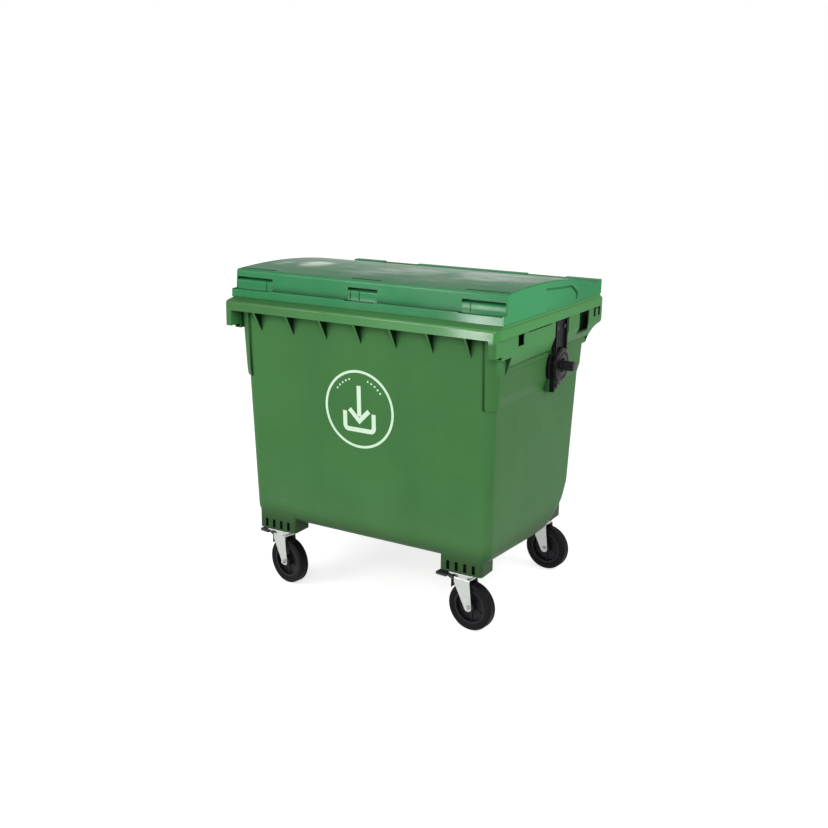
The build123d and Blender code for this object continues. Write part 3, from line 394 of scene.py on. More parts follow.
def moulded_plastic(name, tones, roughness, specular, edge_radius, spots, rim_light_share=0.0):
    """Coloured polyethylene with its causes of colour, painted shade and painted light, then two bumps: wide
    ripples and a fine orange peel.
    """
    mid, deep, pale, shade_tone, lit_tone = tones
    finish = Finish(name, roughness=roughness, specular_ior_level=specular, coat_roughness=0.12)
    rounded = finish.soft_edges(edge_radius)
    patches = finish.noise(3.2, detail=3.0)
    mottle = finish.noise(46.0, detail=3.0, roughness=0.55)
    scuffs = finish.noise(11.0, detail=6.0, roughness=0.7).step(0.56, 0.72)
    on_rim = finish.along("Z").step(*rim_rise)
    to_the_right = finish.along("X").step(*left_to_right)
    on_top = finish.along("Z").step(*top_rise) * finish.facing(upwards, 0.9, 0.99)
    colour = base_tone(finish, mid, deep, patches, mottle)
    # Painted highlight: the rim lightens towards the right.
    colour = finish.mix(on_rim * to_the_right * rim_light_share, colour, rim_painted_light)
    colour = rubbed_pale(finish, colour, rounded, scuffs, pale)
    colour = dust_with_painted_light_and_shade(finish, colour, mottle, scuffs, lit_tone)
    # The flat top is greyer and darker.
    colour = finish.mix(on_top * (patches * 0.3 + 0.2), colour, greyer_top)
    # Painted shade in hollows, behind the ribs, along the plate edges and in the windows.
    colour = painted_shade_in_hollows(finish, colour, shade_tone)
    sheen = coat_patches(finish, on_rim, to_the_right, on_top, spots)
    shine = (mottle * 0.08 + scuffs * 0.1 + (roughness - 0.08)).clip()
    waved = finish.bump(finish.noise(8.0, detail=1.0), 0.003, 0.3, rounded)
    normal = finish.bump(finish.noise(420.0, detail=1.0), 0.0001, 0.4, waved)
    return finish.feed(base_color=colour, roughness=shine, coat_weight=sheen, normal=normal)


tub_gloss = {"roughness": 0.44, "specular": 0.045, "spots": []}
lid_gloss = {"roughness": 0.26, "specular": 0.006, "spots": sheen_spots}
tub_finish = moulded_plastic("tub_plastic", tub_tones, edge_radius=0.003, rim_light_share=0.45, **tub_gloss)
lid_finish = moulded_plastic("lid_plastic", lid_tones, edge_radius=0.007, **lid_gloss)
scoop_finish = moulded_plastic("scoop_plastic", lid_tones, edge_radius=0.001, **lid_gloss)
print("plastic finishes:", tub_finish.name, lid_finish.name, scoop_finish.name)

# %% [markdown]
# ## Black plastic, coated steel, rubber and zinc
# The brackets and pedals are black glass-filled plastic with a dry, faintly grained face. The lifting
# pins have a tougher coating that polishes where the lorry's arm grips. Zinc plate is bright and slightly
# cloudy: its colour hardly changes, but its roughness does, so most of the pattern goes to the roughness.
# Rubber is the dullest, with a dusty bloom in patches.

# %% The dark and the metal finishes


def grained_black(name, tone, pale, roughness, grain, edge_radius, specular=0.16):
    """Dark material with a fine grain of the given scale, paler where it is rubbed."""
    finish = Finish(name, roughness=roughness, specular_ior_level=specular)
    rounded = finish.soft_edges(edge_radius)
    cloud = finish.noise(38.0, detail=5.0, roughness=0.65)
    rub = (finish.edge_mask(rounded, 3.0) * (cloud * 0.6 + 0.1)).clip()
    colour = finish.mix((rub + cloud * 0.14).clip(), tone, pale)
    speckle = finish.noise(grain, detail=2.0)
    shine = (cloud * 0.2 + (roughness - 0.1)).clip()
    normal = finish.bump(speckle, 0.0001, 0.4, rounded)
    return finish.feed(base_color=colour, roughness=shine, normal=normal)


def zinc_plate(name):
    """Bright zinc plate on pressed steel: cloudy shine, faint rolling lines and small dull marks."""
    finish = Finish(name, metallic=0.85, roughness=0.36)
    rounded = finish.soft_edges(0.0009)
    cloud = finish.noise(60.0, detail=5.0, roughness=0.6)
    lines = finish.noise(420.0, detail=1.0, stretch=(0.05, 1.0, 1.0))
    marks = finish.noise(24.0, detail=6.0, roughness=0.75).step(0.6, 0.74)
    colour = finish.mix((cloud * 0.6 + marks * 0.4).clip(), rgb(196, 199, 196), rgb(150, 153, 148))
    shine = (cloud * 0.2 + lines * 0.1 + marks * 0.16 + 0.16).clip()
    normal = finish.bump(lines, 0.0002, 0.3, rounded)
    return finish.feed(base_color=colour, roughness=shine, normal=normal)


def tyre_rubber(name):
    """Solid rubber: near black, with a grey bloom and fine pits."""
    finish = Finish(name, roughness=0.6, specular_ior_level=0.1)
    bloom = finish.noise(18.0, detail=5.0, roughness=0.65)
    pits = finish.noise(520.0, detail=2.0)
    colour = finish.mix((bloom * 0.9 - 0.25).clip(), rgb(8, 7, 9), rgb(28, 27, 30))
    shine = (bloom * 0.22 + 0.42).clip()
    normal = finish.bump(pits, 0.0001, 0.5, finish.soft_edges(0.001))
    return finish.feed(base_color=colour, roughness=shine, normal=normal)


bracket_finish = grained_black("bracket_black", rgb(9, 8, 12), rgb(46, 45, 54), 0.5, 300.0, 0.0016, 0.1)
boss_finish = grained_black("boss_black", rgb(10, 8, 12), rgb(36, 34, 42), 0.3, 300.0, 0.0016, 0.1)
pedal_finish = grained_black("pedal_black", rgb(46, 52, 50), rgb(112, 118, 116), 0.5, 420.0, 0.001)
coat_finish = grained_black("pin_coating", rgb(22, 21, 24), rgb(112, 112, 116), 0.3, 240.0, 0.0012)
centre_finish = grained_black("wheel_centre_black", rgb(20, 19, 23), rgb(70, 68, 74), 0.46, 360.0, 0.001)
# Painted shade: a nearly black green for the flat strip that stands for the shade of a deep slot.
shade_strip_finish = grained_black("painted_shade_strip", rgb(8, 34, 18), rgb(16, 48, 28), 0.6, 300.0, 0.001, 0.02)
rubber_finish = tyre_rubber("black_rubber")
zinc_finish = zinc_plate("zinc_plate")
print("dark and metal finishes:", bracket_finish.name, zinc_finish.name, rubber_finish.name)

# %% [markdown]
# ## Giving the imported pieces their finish
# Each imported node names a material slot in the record, so one table from slot to finish dresses them all.
# A piece keeps its mesh: only the material in its slots changes.

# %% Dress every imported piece
finish_of_slot = {
    "body_green": tub_finish,
    "lid_green": lid_finish,
    "black_plastic": bracket_finish,
    "black_paint": coat_finish,
    "zinc": zinc_finish,
    "rubber": rubber_finish,
    "tyre": rubber_finish,
    "wheel_centre": centre_finish,
}
slot_of_node = {part["node"]: part["material_slot"] for part in frame["record"]["subparts"]}
for name, piece in nodes.items():
    finish = pedal_finish if name.endswith("brake_pedal") else finish_of_slot[slot_of_node[name]]
    piece.data.materials.clear()
    piece.data.materials.append(finish)
print("dressed", len(nodes), "pieces in", len(set(slot_of_node.values())), "slots")

# %% [markdown]
# ## Surfaces from grids
# New pieces are meshes over a grid of rows and columns. The corner places come from arrays, and the faces
# join each corner to its neighbours, closing round where the grid is a loop. One function does this for
# all of them.

# %% A mesh over a grid of points


def grid_mesh(name, points, loop_rows, loop_columns, caps=False):
    """A mesh over points[row, column]. A looped direction joins last to first; caps close both ends."""
    rows, columns = points.shape[:2]
    row = np.arange(rows if loop_rows else rows - 1)[:, None]
    column = np.arange(columns if loop_columns else columns - 1)[None, :]
    next_row, next_column = (row + 1) % rows, (column + 1) % columns
    corners = [row * columns + column, row * columns + next_column]
    corners += [next_row * columns + next_column, next_row * columns + column]
    faces = np.stack(np.broadcast_arrays(*corners), axis=-1).reshape(-1, 4).tolist()
    if caps:
        faces.append(list(range(columns))[::-1])
        faces.append(list(range((rows - 1) * columns, rows * columns)))
    mesh = bpy.data.meshes.new(name)
    mesh.from_pydata(points.reshape(-1, 3).tolist(), [], faces)
    mesh.validate()
    mesh.update()
    return mesh


# %% A piece made of such meshes


def add_piece(name, meshes, finish, body, slot, smooth=False, crease=180):
    """Join meshes, facing outwards, on a body. Edges that turn by more than crease degrees stay sharp."""
    joined = bmesh.new()
    for mesh in meshes:
        joined.from_mesh(mesh)
    bmesh.ops.recalc_face_normals(joined, faces=joined.faces)
    whole = bpy.data.meshes.new(name)
    joined.to_mesh(whole)
    joined.free()
    whole.materials.append(finish)
    whole.polygons.foreach_set("use_smooth", np.full(len(whole.polygons), smooth))
    if crease < 180:
        whole.set_sharp_from_angle(angle=math.radians(crease))
    piece = bpy.data.objects.new(name, whole)
    bpy.context.scene.collection.objects.link(piece)
    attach(piece, body)
    return piece


both_sides = (("right", 1.0), ("left", -1.0))
print("helpers for grids:", grid_mesh.__name__, add_piece.__name__)

# %% [markdown]
# ## The printed round mark
# The front wall carries a round white print about a third of a metre across. This one is a plain ring
# with an arrow that points down into an open tray, drawn for this container. A decal texture would need
# an image, so each stroke is a flat ribbon: a path in the plane of the wall, carried sideways by half its
# width. The wall leans, so the drawing plane is taken from the tub itself, and the print stands a
# fraction of a millimetre proud of it.

# %% The plane of the front wall
wall_foot = Vector((0.0, -0.424, 0.354))
wall_head = Vector((0.0, -0.460, 1.207))
wall_up = (wall_head - wall_foot).normalized()
wall_across = Vector((1.0, 0.0, 0.0))
wall_out = wall_across.cross(wall_up)
mark_level = 0.852
mark_shift = -0.011
mark_middle = wall_foot + wall_up * ((mark_level - wall_foot.z) / wall_up.z) + wall_across * mark_shift
print_lift = 0.0004
print("wall leans", round(math.degrees(math.asin(-wall_up.y)), 2), "degrees; print faces", wall_out[:])


def on_wall(flat):
    """Points in the wall's plane, from metres across and up from the mark's middle."""
    across = flat[..., 0, None] * np.array(wall_across)
    up = flat[..., 1, None] * np.array(wall_up)
    return np.array(mark_middle) + across + up


def ribbon(name, path, width, closed=False):
    """A flat stroke: the path moved half the width to each side, one face just under and one above."""
    ahead = np.roll(path, -1, axis=0) - path
    behind = path - np.roll(path, 1, axis=0)
    if not closed:
        ahead[-1] = behind[-1]
        behind[0] = ahead[0]
    ahead /= np.linalg.norm(ahead, axis=1, keepdims=True)
    behind /= np.linalg.norm(behind, axis=1, keepdims=True)
    along = ahead + behind
    along /= np.linalg.norm(along, axis=1, keepdims=True)
    reach = width / 2 / np.clip((along * ahead).sum(axis=1, keepdims=True), 0.5, 1.0)
    side = np.stack([-along[:, 1], along[:, 0]], axis=1) * reach
    left, right = on_wall(path + side), on_wall(path - side)
    lift = np.array(wall_out) * print_lift
    section = np.stack([left - lift, left + lift, right + lift, right - lift], axis=1)
    return grid_mesh(name, section, closed, True, caps=not closed)


def arc(middle, radius, start, end, count):
    """Points on a circle's arc, with the angles in degrees from the right, turning upwards."""
    angle = np.radians(np.linspace(start, end, count))
    return np.array(middle) + radius * np.stack([np.cos(angle), np.sin(angle)], axis=1)


# %% The sizes of the mark
ring_radius = 0.1565
ring_width = 0.0105
stroke = 0.019
tray_half = 0.068
tray_corner = 0.016
tray_foot = -0.086
tray_head = -0.012
shaft_head = 0.098
arrow_tip = -0.048
arrow_half = 0.046
dot_radius = 0.0042
dot_path_radius = 0.128
dot_turns = np.linspace(38, 142, 14)
dot_gap = 12
print("mark:", 2 * ring_radius, "m across, with strokes of", stroke, "m")

# %% Draw its strokes
ring = arc((0.0, 0.0), ring_radius, 0, 360, 145)[:-1]
tray = np.concatenate([
    [(-tray_half, tray_head)],
    arc((-tray_half + tray_corner, tray_foot + tray_corner), tray_corner, 180, 270, 7),
    arc((tray_half - tray_corner, tray_foot + tray_corner), tray_corner, -90, 0, 7),
    [(tray_half, tray_head)],
])
shaft = np.array([(0.0, shaft_head), (0.0, arrow_tip + stroke)])
head_level = arrow_tip + arrow_half
head = np.array([(-arrow_half, head_level), (0.0, arrow_tip), (arrow_half, head_level)])
strokes = [
    ribbon("ring", ring, ring_width, closed=True),
    ribbon("tray", tray, stroke),
    ribbon("shaft", shaft, stroke),
    ribbon("head", head, stroke),
]
for turn in dot_turns:
    if abs(turn - 90) > dot_gap:
        spot = arc((0.0, 0.0), dot_path_radius, turn, turn, 1)[0]
        outline = arc(spot, dot_radius / 2, 0, 360, 13)[:-1]
        strokes.append(ribbon("dot", outline, dot_radius, closed=True))
print("strokes:", len(strokes))

# %% Print the mark on the wall


def print_white(name):
    """White print that has worn thin in specks, so that a little green shows through it."""
    finish = Finish(name, roughness=0.5)
    specks = finish.noise(900.0, detail=3.0, roughness=0.7).step(0.66, 0.74)
    fade = finish.noise(16.0, detail=3.0)
    white = finish.mix(fade, rgb(188, 216, 186), rgb(212, 232, 210))
    colour = finish.mix(specks * 0.6, white, tub_mid)
    return finish.feed(base_color=colour)


mark = add_piece("round_mark", strokes, print_white("print_white"), "container", "body_green")
print("mark:", len(mark.data.polygons), "faces, centred at", [round(value, 3) for value in mark_middle])

# %% [markdown]
# ## Tyres
# The tyre is solid rubber. Its section is a closed outline: a bead in the wheel centre, sidewalls with a
# raised step, rounded shoulders and a flat tread with two shallow grooves. Carried round the axle, that
# outline makes the whole surface. The grid has one column for each outline point, so a change of the
# outline changes all four tyres.

# %% The outline of a tyre
tyre_turns = 96
tyre_width = 0.046
tyre_depth = 0.027
groove_depth = 0.0018
groove_lip = 0.0016
groove_floor = 0.0006


def tyre_section(radius, width, depth):
    """The closed outline of a tyre as pairs of distance along the axle and distance from it."""
    half = width / 2
    bead = radius - depth
    shoulder = width * 0.2
    groove = width * 0.16
    corner = np.radians(np.linspace(0, 90, 7))
    across = half - shoulder + shoulder * np.cos(corner)
    outer = np.stack([across, radius - shoulder + shoulder * np.sin(corner)], axis=1)
    step = [(half * 0.84, bead), (half * 0.88, bead + depth * 0.16), (half * 0.97, bead + depth * 0.22),
            (half * 0.97, bead + depth * 0.34), (half, bead + depth * 0.4)]
    foot = radius - groove_depth
    tread = [(groove + groove_lip, radius), (groove + groove_floor, foot),
             (groove - groove_floor, foot), (groove - groove_lip, radius)]
    right = np.array(step + outer.tolist() + tread)
    left = right[::-1] * np.array([-1.0, 1.0])
    return np.concatenate([right, left])


# %% Turn an outline round an axle


def turned(name, outline, middle, axle, count):
    """An outline carried round an axle: each point keeps its place along the axle and turns round it."""
    along = np.array(axle) / np.linalg.norm(axle)
    up = np.array((0.0, 0.0, 1.0))
    forward = np.cross(up, along)
    angle = np.linspace(0, 2 * np.pi, count, endpoint=False)
    spoke = np.cos(angle)[:, None] * up + np.sin(angle)[:, None] * forward
    points = outline[None, :, 0, None] * along + outline[None, :, 1, None] * spoke[:, None, :]
    return grid_mesh(name, np.array(middle) + points, True, True)


# %% Build the tyres round their axles
castor_places = ["front_left", "front_right", "rear_left", "rear_right"]
for place in castor_places:
    spin = joints[f"{place}_wheel_spin"]
    low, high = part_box(f"{place}_tyre")
    wheel_radius = (high.z - low.z) / 2
    section = tyre_section(wheel_radius, tyre_width, tyre_depth)
    mesh = turned(f"{place}_tyre_tread", section, spin["pos_m"], spin["axis"], tyre_turns)
    body = f"{place}_wheel"
    tyre = add_piece(f"{place}_tyre_tread", [mesh], rubber_finish, body, "tyre", smooth=True, crease=50)
    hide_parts(f"{place}_tyre")
print("tyres:", len(castor_places), "of radius", round(wheel_radius, 3))

# %% [markdown]
# ## Wheel discs
# The wheel centre is a moulded disc with ribs on it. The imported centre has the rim, the ribs and the hub,
# so the thin disc between the ribs is turned here from a small outline, slightly dished like the real one
# to shed water.

# %% Close the wheels between their ribs
disc_hub = 0.022
disc_rim = 0.066
disc_half = 0.0016
disc_dish = 0.0012


def disc_section(hub, rim, half, dish):
    """A thin plate from hub to rim, its middle pushed sideways by a sine of how far out it is."""
    share = np.linspace(0, 1, 9)
    radius = hub + (rim - hub) * share
    sideways = dish * np.sin(np.pi * share)
    near = np.stack([sideways + half, radius], axis=1)
    far = np.stack([sideways - half, radius], axis=1)[::-1]
    return np.concatenate([near, far])


for place in castor_places:
    spin = joints[f"{place}_wheel_spin"]
    outline = disc_section(disc_hub, disc_rim, disc_half, disc_dish)
    mesh = turned(f"{place}_wheel_disc", outline, spin["pos_m"], spin["axis"], tyre_turns)
    add_piece(f"{place}_wheel_disc", [mesh], centre_finish, f"{place}_wheel", "wheel_centre", smooth=True)
print("wheel discs:", len(castor_places))

# %% [markdown]
# ## Bosses round the lifting pins
# Each side has a thick round boss that spreads the load of the lifting pin into the wall. It stands out
# of its recess like a drum, with a lip at its foot, a rounded shoulder, a ring groove in its face and a
# collar round the pin. All of it is one outline turned about the pin's axis, and the other side is the
# same outline facing outwards.

# %% Turn the two bosses
pin_middle = np.array((0.0, 0.085, 1.015))
boss_foot = 0.574
boss_lip = 0.604
boss_face = 0.6315
boss_collar = 0.641
boss_lip_radius = 0.0795
boss_radius = 0.073
collar_radius = 0.0285
bore_radius = 0.0195
shoulder = 0.01


def boss_section():
    """A boss's outline: distance out from the container's middle and distance from the pin's axis."""
    turn = np.radians(np.linspace(0, 90, 7))
    round_off = np.stack([boss_face - shoulder + shoulder * np.sin(turn),
                          boss_radius - shoulder + shoulder * np.cos(turn)], axis=1)
    foot = [(boss_foot, bore_radius), (boss_foot, boss_lip_radius), (boss_lip - 0.002, boss_lip_radius),
            (boss_lip, boss_lip_radius - 0.0015), (boss_lip, boss_radius + 0.0012),
            (boss_lip + 0.0015, boss_radius)]
    groove_foot = boss_face - 0.0025
    groove = [(boss_face, 0.0545), (groove_foot, 0.0525), (groove_foot, 0.0485), (boss_face, 0.0465)]
    collar = [(boss_face, collar_radius + 0.006), (boss_face + 0.0015, collar_radius + 0.0015),
              (boss_face + 0.005, collar_radius), (boss_collar - 0.0015, collar_radius),
              (boss_collar, collar_radius - 0.0015), (boss_collar, bore_radius)]
    return np.array(foot + round_off.tolist() + groove + collar)


for side, facing in both_sides:
    mesh = turned(f"lifting_boss_{side}", boss_section(), pin_middle, (facing, 0.0, 0.0), 72)
    dress = (boss_finish, "container", "black_plastic")
    add_piece(f"lifting_boss_{side}", [mesh], *dress, smooth=True, crease=32)
print("bosses of radius", boss_radius, "facing out to", boss_collar)

# %% [markdown]
# ## Corner plates
# Round both front corners the upper wall is a little thicker, where the rim's load comes down. The
# thickening ends on the front in a sharp upright edge, and fades out round the corner and at its foot. It
# is a thin skin over the wall: each level has an outline that follows the front, turns the corner and
# comes back inside the wall. The front wall and the side lean by different amounts, so the outline of a
# level comes from where the walls are at that height.

# %% Wrap the front corners
plate_edge = 0.548
plate_thickness = 0.004
plate_foot = 0.925
plate_head = 1.2055
plate_fade = 0.03
plate_levels = 25
plate_steps = 13
corner_radius = 0.046
side_at_foot, side_at_head = 0.588, 0.598
side_foot_level, side_head_level = 0.928, 1.207
skin_inside = 0.0015


def corner_plate(levels, steps):
    """Levels of a skin over the right corner, thinned by roots of a cosine round it and of the height."""
    height = np.linspace(plate_foot, plate_head, levels)[:, None]
    rise = (height - wall_foot.z) / (wall_head.z - wall_foot.z)
    front = wall_foot.y + (wall_head.y - wall_foot.y) * rise
    side_rise = (height - side_foot_level) / (side_head_level - side_foot_level)
    side = side_at_foot + (side_at_head - side_at_foot) * side_rise
    turn = np.radians(np.linspace(0, 90, steps))[None, :]
    risen = np.clip((height - plate_foot) / plate_fade, 0.0, 1.0) ** 0.5
    thick = plate_thickness * risen * np.cos(turn) ** 0.5
    rings = []
    for grown in (thick, np.full_like(thick, -skin_inside)):
        across = side - corner_radius + (corner_radius + grown) * np.sin(turn)
        ahead = front + corner_radius - (corner_radius + grown) * np.cos(turn)
        edge = np.stack([np.full((levels, 1), plate_edge), front - grown[:, :1]], axis=-1)
        rings.append(np.concatenate([edge, np.stack([across, ahead], axis=-1)], axis=1))
    section = np.concatenate([rings[0], rings[1][:, ::-1]], axis=1)
    upright = np.broadcast_to(height[:, :, None], (*section.shape[:2], 1))
    return np.concatenate([section, upright], axis=-1)


for side, facing in both_sides:
    points = corner_plate(plate_levels, plate_steps) * np.array([facing, 1.0, 1.0])
    mesh = grid_mesh(f"corner_plate_{side}", points, False, True, caps=True)
    dress = (tub_finish, "container", "body_green")
    add_piece(f"corner_plate_{side}", [mesh], *dress, smooth=True, crease=40)
print("corner plates from", plate_edge, "round a radius of", corner_radius)

# %% [markdown]
# ## Scoops in the lid's handholds
# Fingers go in under the lid's brow. On the real lid the floor of each handhold isn't a shelf but a
# scoop: it stands almost flush with the front and turns back only near its top, so that a narrow dark
# slot is left under the brow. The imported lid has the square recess, and each scoop is a solid laid into
# it: a bent section carried along X. The section follows the lean of the lid's front, hollowed a little
# by half a sine, and ends in a quarter ellipse.

# %% Lay the scoops
front_at_foot = -0.4421
front_at_lip = -0.4398
scoop_back = -0.4085
scoop_foot = 1.2872
scoop_lip = 1.321
scoop_top = 1.329
scoop_hollow = 0.0008
scoop_shelf = 0.004
rib_proud = 0.0035
rib_width = 0.006
rib_starts = {"middle": (-0.062, -0.02), "right": (0.4665,), "left": (-0.4725,)}
scoop_spans = {"middle": (-0.0678, 0.0678), "right": (0.4362, 0.6168), "left": (-0.6168, -0.4362)}


def scoop_section(proud=0.0):
    """The scoop from the side: a slightly hollow front, then a quarter ellipse to the flat top."""
    share = np.linspace(0, 1, 9)
    leaning = front_at_foot - proud + (front_at_lip - front_at_foot) * share
    back = leaning + scoop_hollow * np.sin(np.pi * share)
    front = np.stack([back, scoop_foot + (scoop_lip - scoop_foot) * share], axis=1)
    turn = np.radians(np.linspace(0, 90, 8))[1:]
    lip_start = front_at_lip - proud
    lip_reach = scoop_back - scoop_shelf - lip_start
    lip = np.stack([lip_start + lip_reach * (1 - np.cos(turn)),
                    scoop_lip + (scoop_top - scoop_lip) * np.sin(turn)], axis=1)
    return np.concatenate([front, lip, [(scoop_back, scoop_top), (scoop_back, scoop_foot)]])


def carried_along(name, section, start, end, count):
    """A section in the plane across X, carried along X from start to end."""
    places = np.linspace(start, end, count)
    grid = np.empty((count, len(section), 3))
    grid[..., 0] = places[:, None]
    grid[..., 1:] = section[None]
    return grid_mesh(name, grid, False, True, caps=True)


for name, (start, end) in scoop_spans.items():
    parts = [carried_along(f"{name}_scoop", scoop_section(), start, end, 13)]
    for rib_start in rib_starts[name]:
        rib_end = rib_start + rib_width
        parts.append(carried_along(f"{name}_rib", scoop_section(rib_proud), rib_start, rib_end, 3))
    dress = (scoop_finish, "lid", "lid_green")
    add_piece(f"{name}_handhold_scoop", parts, *dress, smooth=True, crease=40)
print("scoops:", list(scoop_spans))

# %% [markdown]
# ## Hoods over the side panels
# Each side of the lid has a shallow panel, and an arched hood stands over its upper edge, so that a hand finds
# hold there. From the front the hood shows as a dark line: its underside is flat and its upper side runs gently
# back into the wall, and below it a nearly black flat strip stands for the shade of a deep slot, as painted shade.
# The hood is one small section carried along the panel's edge, straight pieces joined by round bends, and the
# painted shade strip lies on the same path. Below the strip a flat filler brings the panel flush with the side
# again.

# %% The panel's corners and the hood's section
panel_corners = np.array([(-0.0975, 1.3495), (0.15, 1.334), (0.2178, 1.3), (0.2178, 1.272)])
panel_radii = (0.04, 0.02)
panel_floor = 0.6188
lid_side = 0.6238
hood_section = np.array([
    (-0.006, 0.0), (0.0045, 0.0), (0.0055, 0.001), (0.005, 0.003),
    (0.0022, 0.011), (-0.0008, 0.018), (-0.006, 0.018),
])
hood_fade = 0.02
hood_least = 0.02
bend_steps = 9
print("hood section of", len(hood_section), "points")

# %% Paths on the lid's side


def rounded_path(corners, radii, steps):
    """A path through corners, each bend an arc from and to radius times tan(half the turn) away."""
    points = [corners[0]]
    for before, corner, after, radius in zip(corners, corners[1:], corners[2:], radii):
        back = (before - corner) / np.linalg.norm(before - corner)
        ahead = (after - corner) / np.linalg.norm(after - corner)
        turn = np.pi - np.arccos(back @ ahead)
        middle = corner + (back + ahead) / np.linalg.norm(back + ahead) * radius / np.cos(turn / 2)
        start = corner + back * radius * np.tan(turn / 2) - middle
        end = corner + ahead * radius * np.tan(turn / 2) - middle
        share = np.linspace(0, 1, steps)[:, None]
        turned_part = np.sin((1 - share) * turn) * start + np.sin(share * turn) * end
        points.extend(middle + turned_part / np.sin(turn))
    return np.array([*points, corners[-1]])


def square_to(path):
    """For each point of a path the unit step square to it, on the left of the way it runs."""
    along = np.gradient(path, axis=0)
    along /= np.linalg.norm(along, axis=1, keepdims=True)
    return np.stack([-along[:, 1], along[:, 0]], axis=1)


def on_side(out, flat, facing):
    """Points from their distance out of the container's middle and their place along and up its side."""
    outwards = np.broadcast_to(facing * out[..., None], (*flat.shape[:2], 1))
    return np.concatenate([outwards, flat], axis=-1)


# %% The hood along its path


def hood(path, facing):
    """The hood's section at each point of its path, shrinking by a root towards both ends of the path."""
    walked = np.concatenate([[0], np.cumsum(np.linalg.norm(np.diff(path, axis=0), axis=1))])
    to_an_end = np.minimum(walked, walked[-1] - walked)
    grown = np.clip(to_an_end / hood_fade, hood_least, 1.0)[:, None] ** 0.5
    out, up = hood_section.T
    reach = lid_side + out * np.where(out > 0, grown, 1.0)
    return on_side(reach, path[:, None, :] + square_to(path)[:, None, :] * (up * grown)[:, :, None], facing)


# %% The path along the panel's edge
bends = rounded_path(panel_corners, panel_radii, bend_steps)
start_shares = np.linspace(0, 1, 12)[:-1, None]
end_shares = np.array([[0.4], [0.8], [1.0]])
panel_edge = np.concatenate([
    bends[0] + (bends[1] - bends[0]) * start_shares,
    bends[1:-1],
    bends[-2] + (bends[-1] - bends[-2]) * end_shares,
])
print("panel edge of", len(panel_edge), "points")

# %% Painted shade strips, fillers and hoods
shade_strip_width = 0.0085
shade_strip_tuck = 0.0005
strip_half = 0.0005
piece_root = 0.001
filler_foot = 1.2685
rearward_step = 0.0003


def shade_strip(path, facing):
    """A flat nearly black strip under the hood, as painted shade: each point of the path moved square to it by the
    strip's width.
    """
    up = np.array([-shade_strip_width, -shade_strip_width, shade_strip_tuck, shade_strip_tuck])
    out = panel_floor + np.array([-piece_root, strip_half, strip_half, -piece_root])
    return on_side(out, path[:, None, :] + square_to(path)[:, None, :] * up[None, :, None], facing)


def panel_filler(path, facing):
    """A flush plate from a straight foot up to the path moved in by the painted shade strip, while it runs
    rearwards.
    """
    top = path - square_to(path) * shade_strip_width
    top = top[np.concatenate([[True], np.diff(top[:, 0]) > rearward_step])]
    low = np.stack([top[:, 0], np.full(len(top), filler_foot)], axis=1)
    inner = panel_floor - piece_root
    out = np.array([lid_side, lid_side, inner, inner])
    return on_side(out, np.stack([low, top, top, low], axis=1), facing)


for side, facing in both_sides:
    on_lid = ("lid", "lid_green")
    mesh = grid_mesh(f"side_panel_filler_{side}", panel_filler(panel_edge, facing), False, True, caps=True)
    add_piece(f"side_panel_filler_{side}", [mesh], scoop_finish, *on_lid)
    # Painted shade: a nearly black strip under each hood.
    mesh = grid_mesh(f"side_shade_strip_{side}", shade_strip(panel_edge, facing), False, True, caps=True)
    add_piece(f"side_shade_strip_{side}", [mesh], shade_strip_finish, *on_lid)
    mesh = grid_mesh(f"side_hood_{side}", hood(panel_edge, facing), False, True, caps=True)
    add_piece(f"side_hood_{side}", [mesh], scoop_finish, *on_lid, smooth=True, crease=35)
print("side hoods reach", round(float(hood_section[:, 0].max()), 4), "past the lid's side")

# %% [markdown]
# ## Camera
# The picture was taken from the front right, a little above the lid, with a short telephoto lens. The
# place and the three turns below, in radians, were worked out from the container's straight edges, so the
# camera is set from them directly. The focal length is given in pixels of a picture that is 828 of them
# wide, so the lens follows for whatever sensor is set.

# %% Set the camera
camera_place = Vector((2.2992, -3.9796, 1.9542))
heading = 0.527
pitch = 0.259
roll = 0.014
picture_width = 828
focal_pixels = 1092.492

level = math.cos(pitch)
looking = Vector((-math.sin(heading) * level, math.cos(heading) * level, -math.sin(pitch)))
level_right = Vector((math.cos(heading), math.sin(heading), 0.0))
level_up = level_right.cross(looking)
right = level_right * math.cos(roll) + level_up * math.sin(roll)
up = level_up * math.cos(roll) - level_right * math.sin(roll)
lens = bpy.data.cameras.new("picture_camera")
lens.sensor_width = 36.0
lens.lens = focal_pixels / picture_width * lens.sensor_width
camera = bpy.data.objects.new("picture_camera", lens)
axes = Matrix((right, up, -looking)).transposed()
camera.matrix_world = Matrix.Translation(camera_place) @ axes.to_4x4()
bpy.context.scene.collection.objects.link(camera)
bpy.context.scene.camera = camera
print("lens", round(lens.lens, 2), "mm")

# %% [markdown]
# ## Light and floor
# The picture has an even, soft light with a pale surrounding and hardly a shadow. Two large lamps of one
# strength stand in front of the container, one on its left and one behind the camera, and give the front
# its tone. A smaller one stands on the right, for the side, and a narrow strip low on the left shines
# under the rim. The surrounding fills the rest. The floor and the backdrop are white where the camera
# sees them, while the light that they send back onto the container stays at its own level.

# %% Floor and surrounding
plain_white = (1.0, 1.0, 1.0, 1.0)
surrounding_lighting = 0.5
surrounding_shown = 1.0
floor_half = 30.0
floor_lift = 0.62
floor_tone = (0.9, 0.9, 0.9, 1.0)


def pale_surrounding(lighting, shown):
    """A world that lights the container at one level and is seen, also in reflections, at another."""
    world = bpy.data.worlds.new("pale_surrounding")
    world.use_nodes = True
    tree = Tree(world.node_tree)
    carried = tree.node("Background", {}, {"Strength": lighting, "Color": plain_white})
    looked_at = tree.node("Background", {}, {"Strength": shown, "Color": plain_white})
    both = tree.node("MixShader", {}, {0: tree.seen_rays(), 1: carried, 2: looked_at})
    tree.tree.links.new(both.socket, tree.tree.nodes["World Output"].inputs["Surface"])
    return world


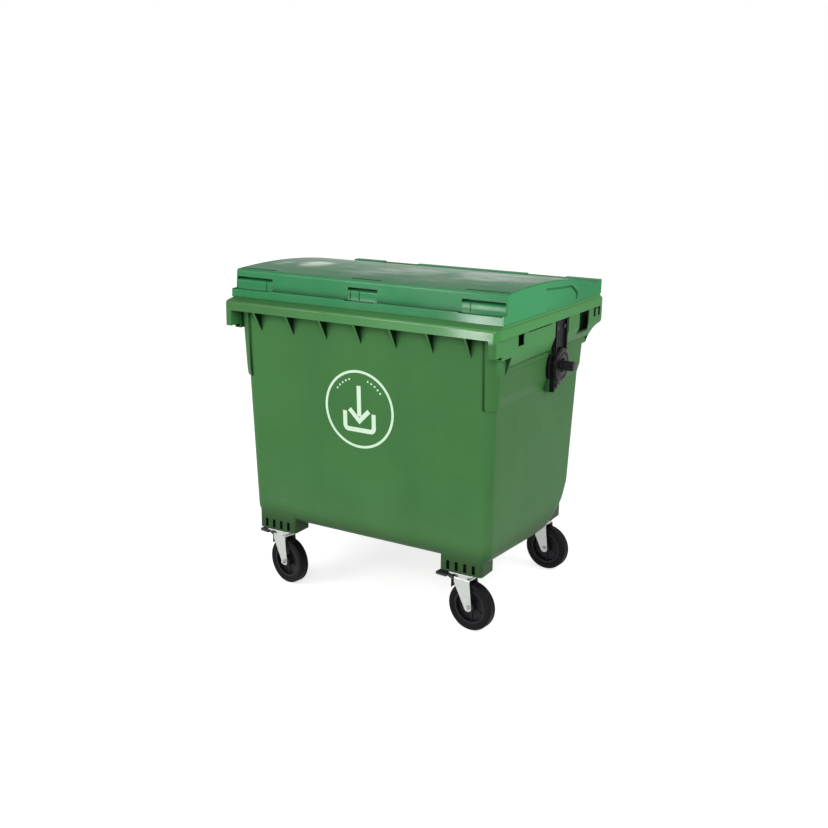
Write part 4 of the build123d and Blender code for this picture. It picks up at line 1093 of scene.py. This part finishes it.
def pale_floor(half, lift):
    """A wide floor that keeps the shadow and that the camera sees lifted towards white."""
    corners = [(-half, -half, 0), (half, -half, 0), (half, half, 0), (-half, half, 0)]
    mesh = bpy.data.meshes.new("floor")
    mesh.from_pydata(corners, [], [(0, 1, 2, 3)])
    finish = Finish("pale_floor", roughness=0.95, base_color=floor_tone, specular_ior_level=0.0)
    plain = Wire(finish, finish.shader.outputs[0])
    glow = finish.node("Emission", {}, {"Strength": lift, "Color": plain_white})
    lifted = finish.node("AddShader", {}, {0: plain, 1: glow})
    both = finish.node("MixShader", {}, {0: finish.seen_rays(), 1: plain, 2: lifted})
    finish.tree.links.new(both.socket, finish.tree.nodes["Material Output"].inputs["Surface"])
    mesh.materials.append(finish.material)
    floor = bpy.data.objects.new("floor", mesh)
    bpy.context.scene.collection.objects.link(floor)
    floor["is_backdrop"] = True
    return floor


bpy.context.scene.world = pale_surrounding(surrounding_lighting, surrounding_shown)
pale_floor(floor_half, floor_lift)
print("surrounding at", surrounding_lighting, "and floor", 2 * floor_half, "m wide")

# %% The four lamps
container_middle = (0.0, 0.0, 0.7)
upper_side = (0.5, 0.0, 1.1)
rim_corner = (0.5, -0.5, 1.2)


def lamp(name, place, aim, width, height, power):
    """A flat rectangular lamp at a place, turned towards its aim."""
    data = bpy.data.lights.new(name, "AREA")
    data.shape = "RECTANGLE"
    data.size = width
    data.size_y = height
    data.energy = power
    made = bpy.data.objects.new(name, data)
    made.location = place
    made.rotation_euler = (Vector(aim) - Vector(place)).to_track_quat("-Z", "Y").to_euler()
    bpy.context.scene.collection.objects.link(made)
    return made


lamps = [
    lamp("front_left_lamp", (-3.0, -4.6, 2.6), container_middle, 2.4, 2.4, 92.0),
    lamp("front_right_lamp", (2.6, -4.8, 2.9), container_middle, 2.6, 2.0, 92.0),
    lamp("right_lamp", (3.3, 0.3, 2.7), upper_side, 2.0, 2.0, 34.0),
    lamp("low_strip", (-1.4, -4.4, 0.6), rim_corner, 0.34, 1.0, 14.0),
]
bpy.context.scene.view_settings.view_transform = "Standard"
print("lamps:", [made.name for made in lamps])

# %% [markdown]
# ## The two boxes
# Both the box of the imported frame and the box of the dressed model are measured, and the dressed one is printed.
# The dressed model may not grow past the imported one.

# %% Measure the dressed box
boxes = {"cad": [list(corner) for corner in cad_box], "visual": [list(corner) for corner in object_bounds()]}
dressed_box = [round(side, 3) for corner in boxes["visual"] for side in corner]
print("sizes written; the dressed box is", dressed_box)
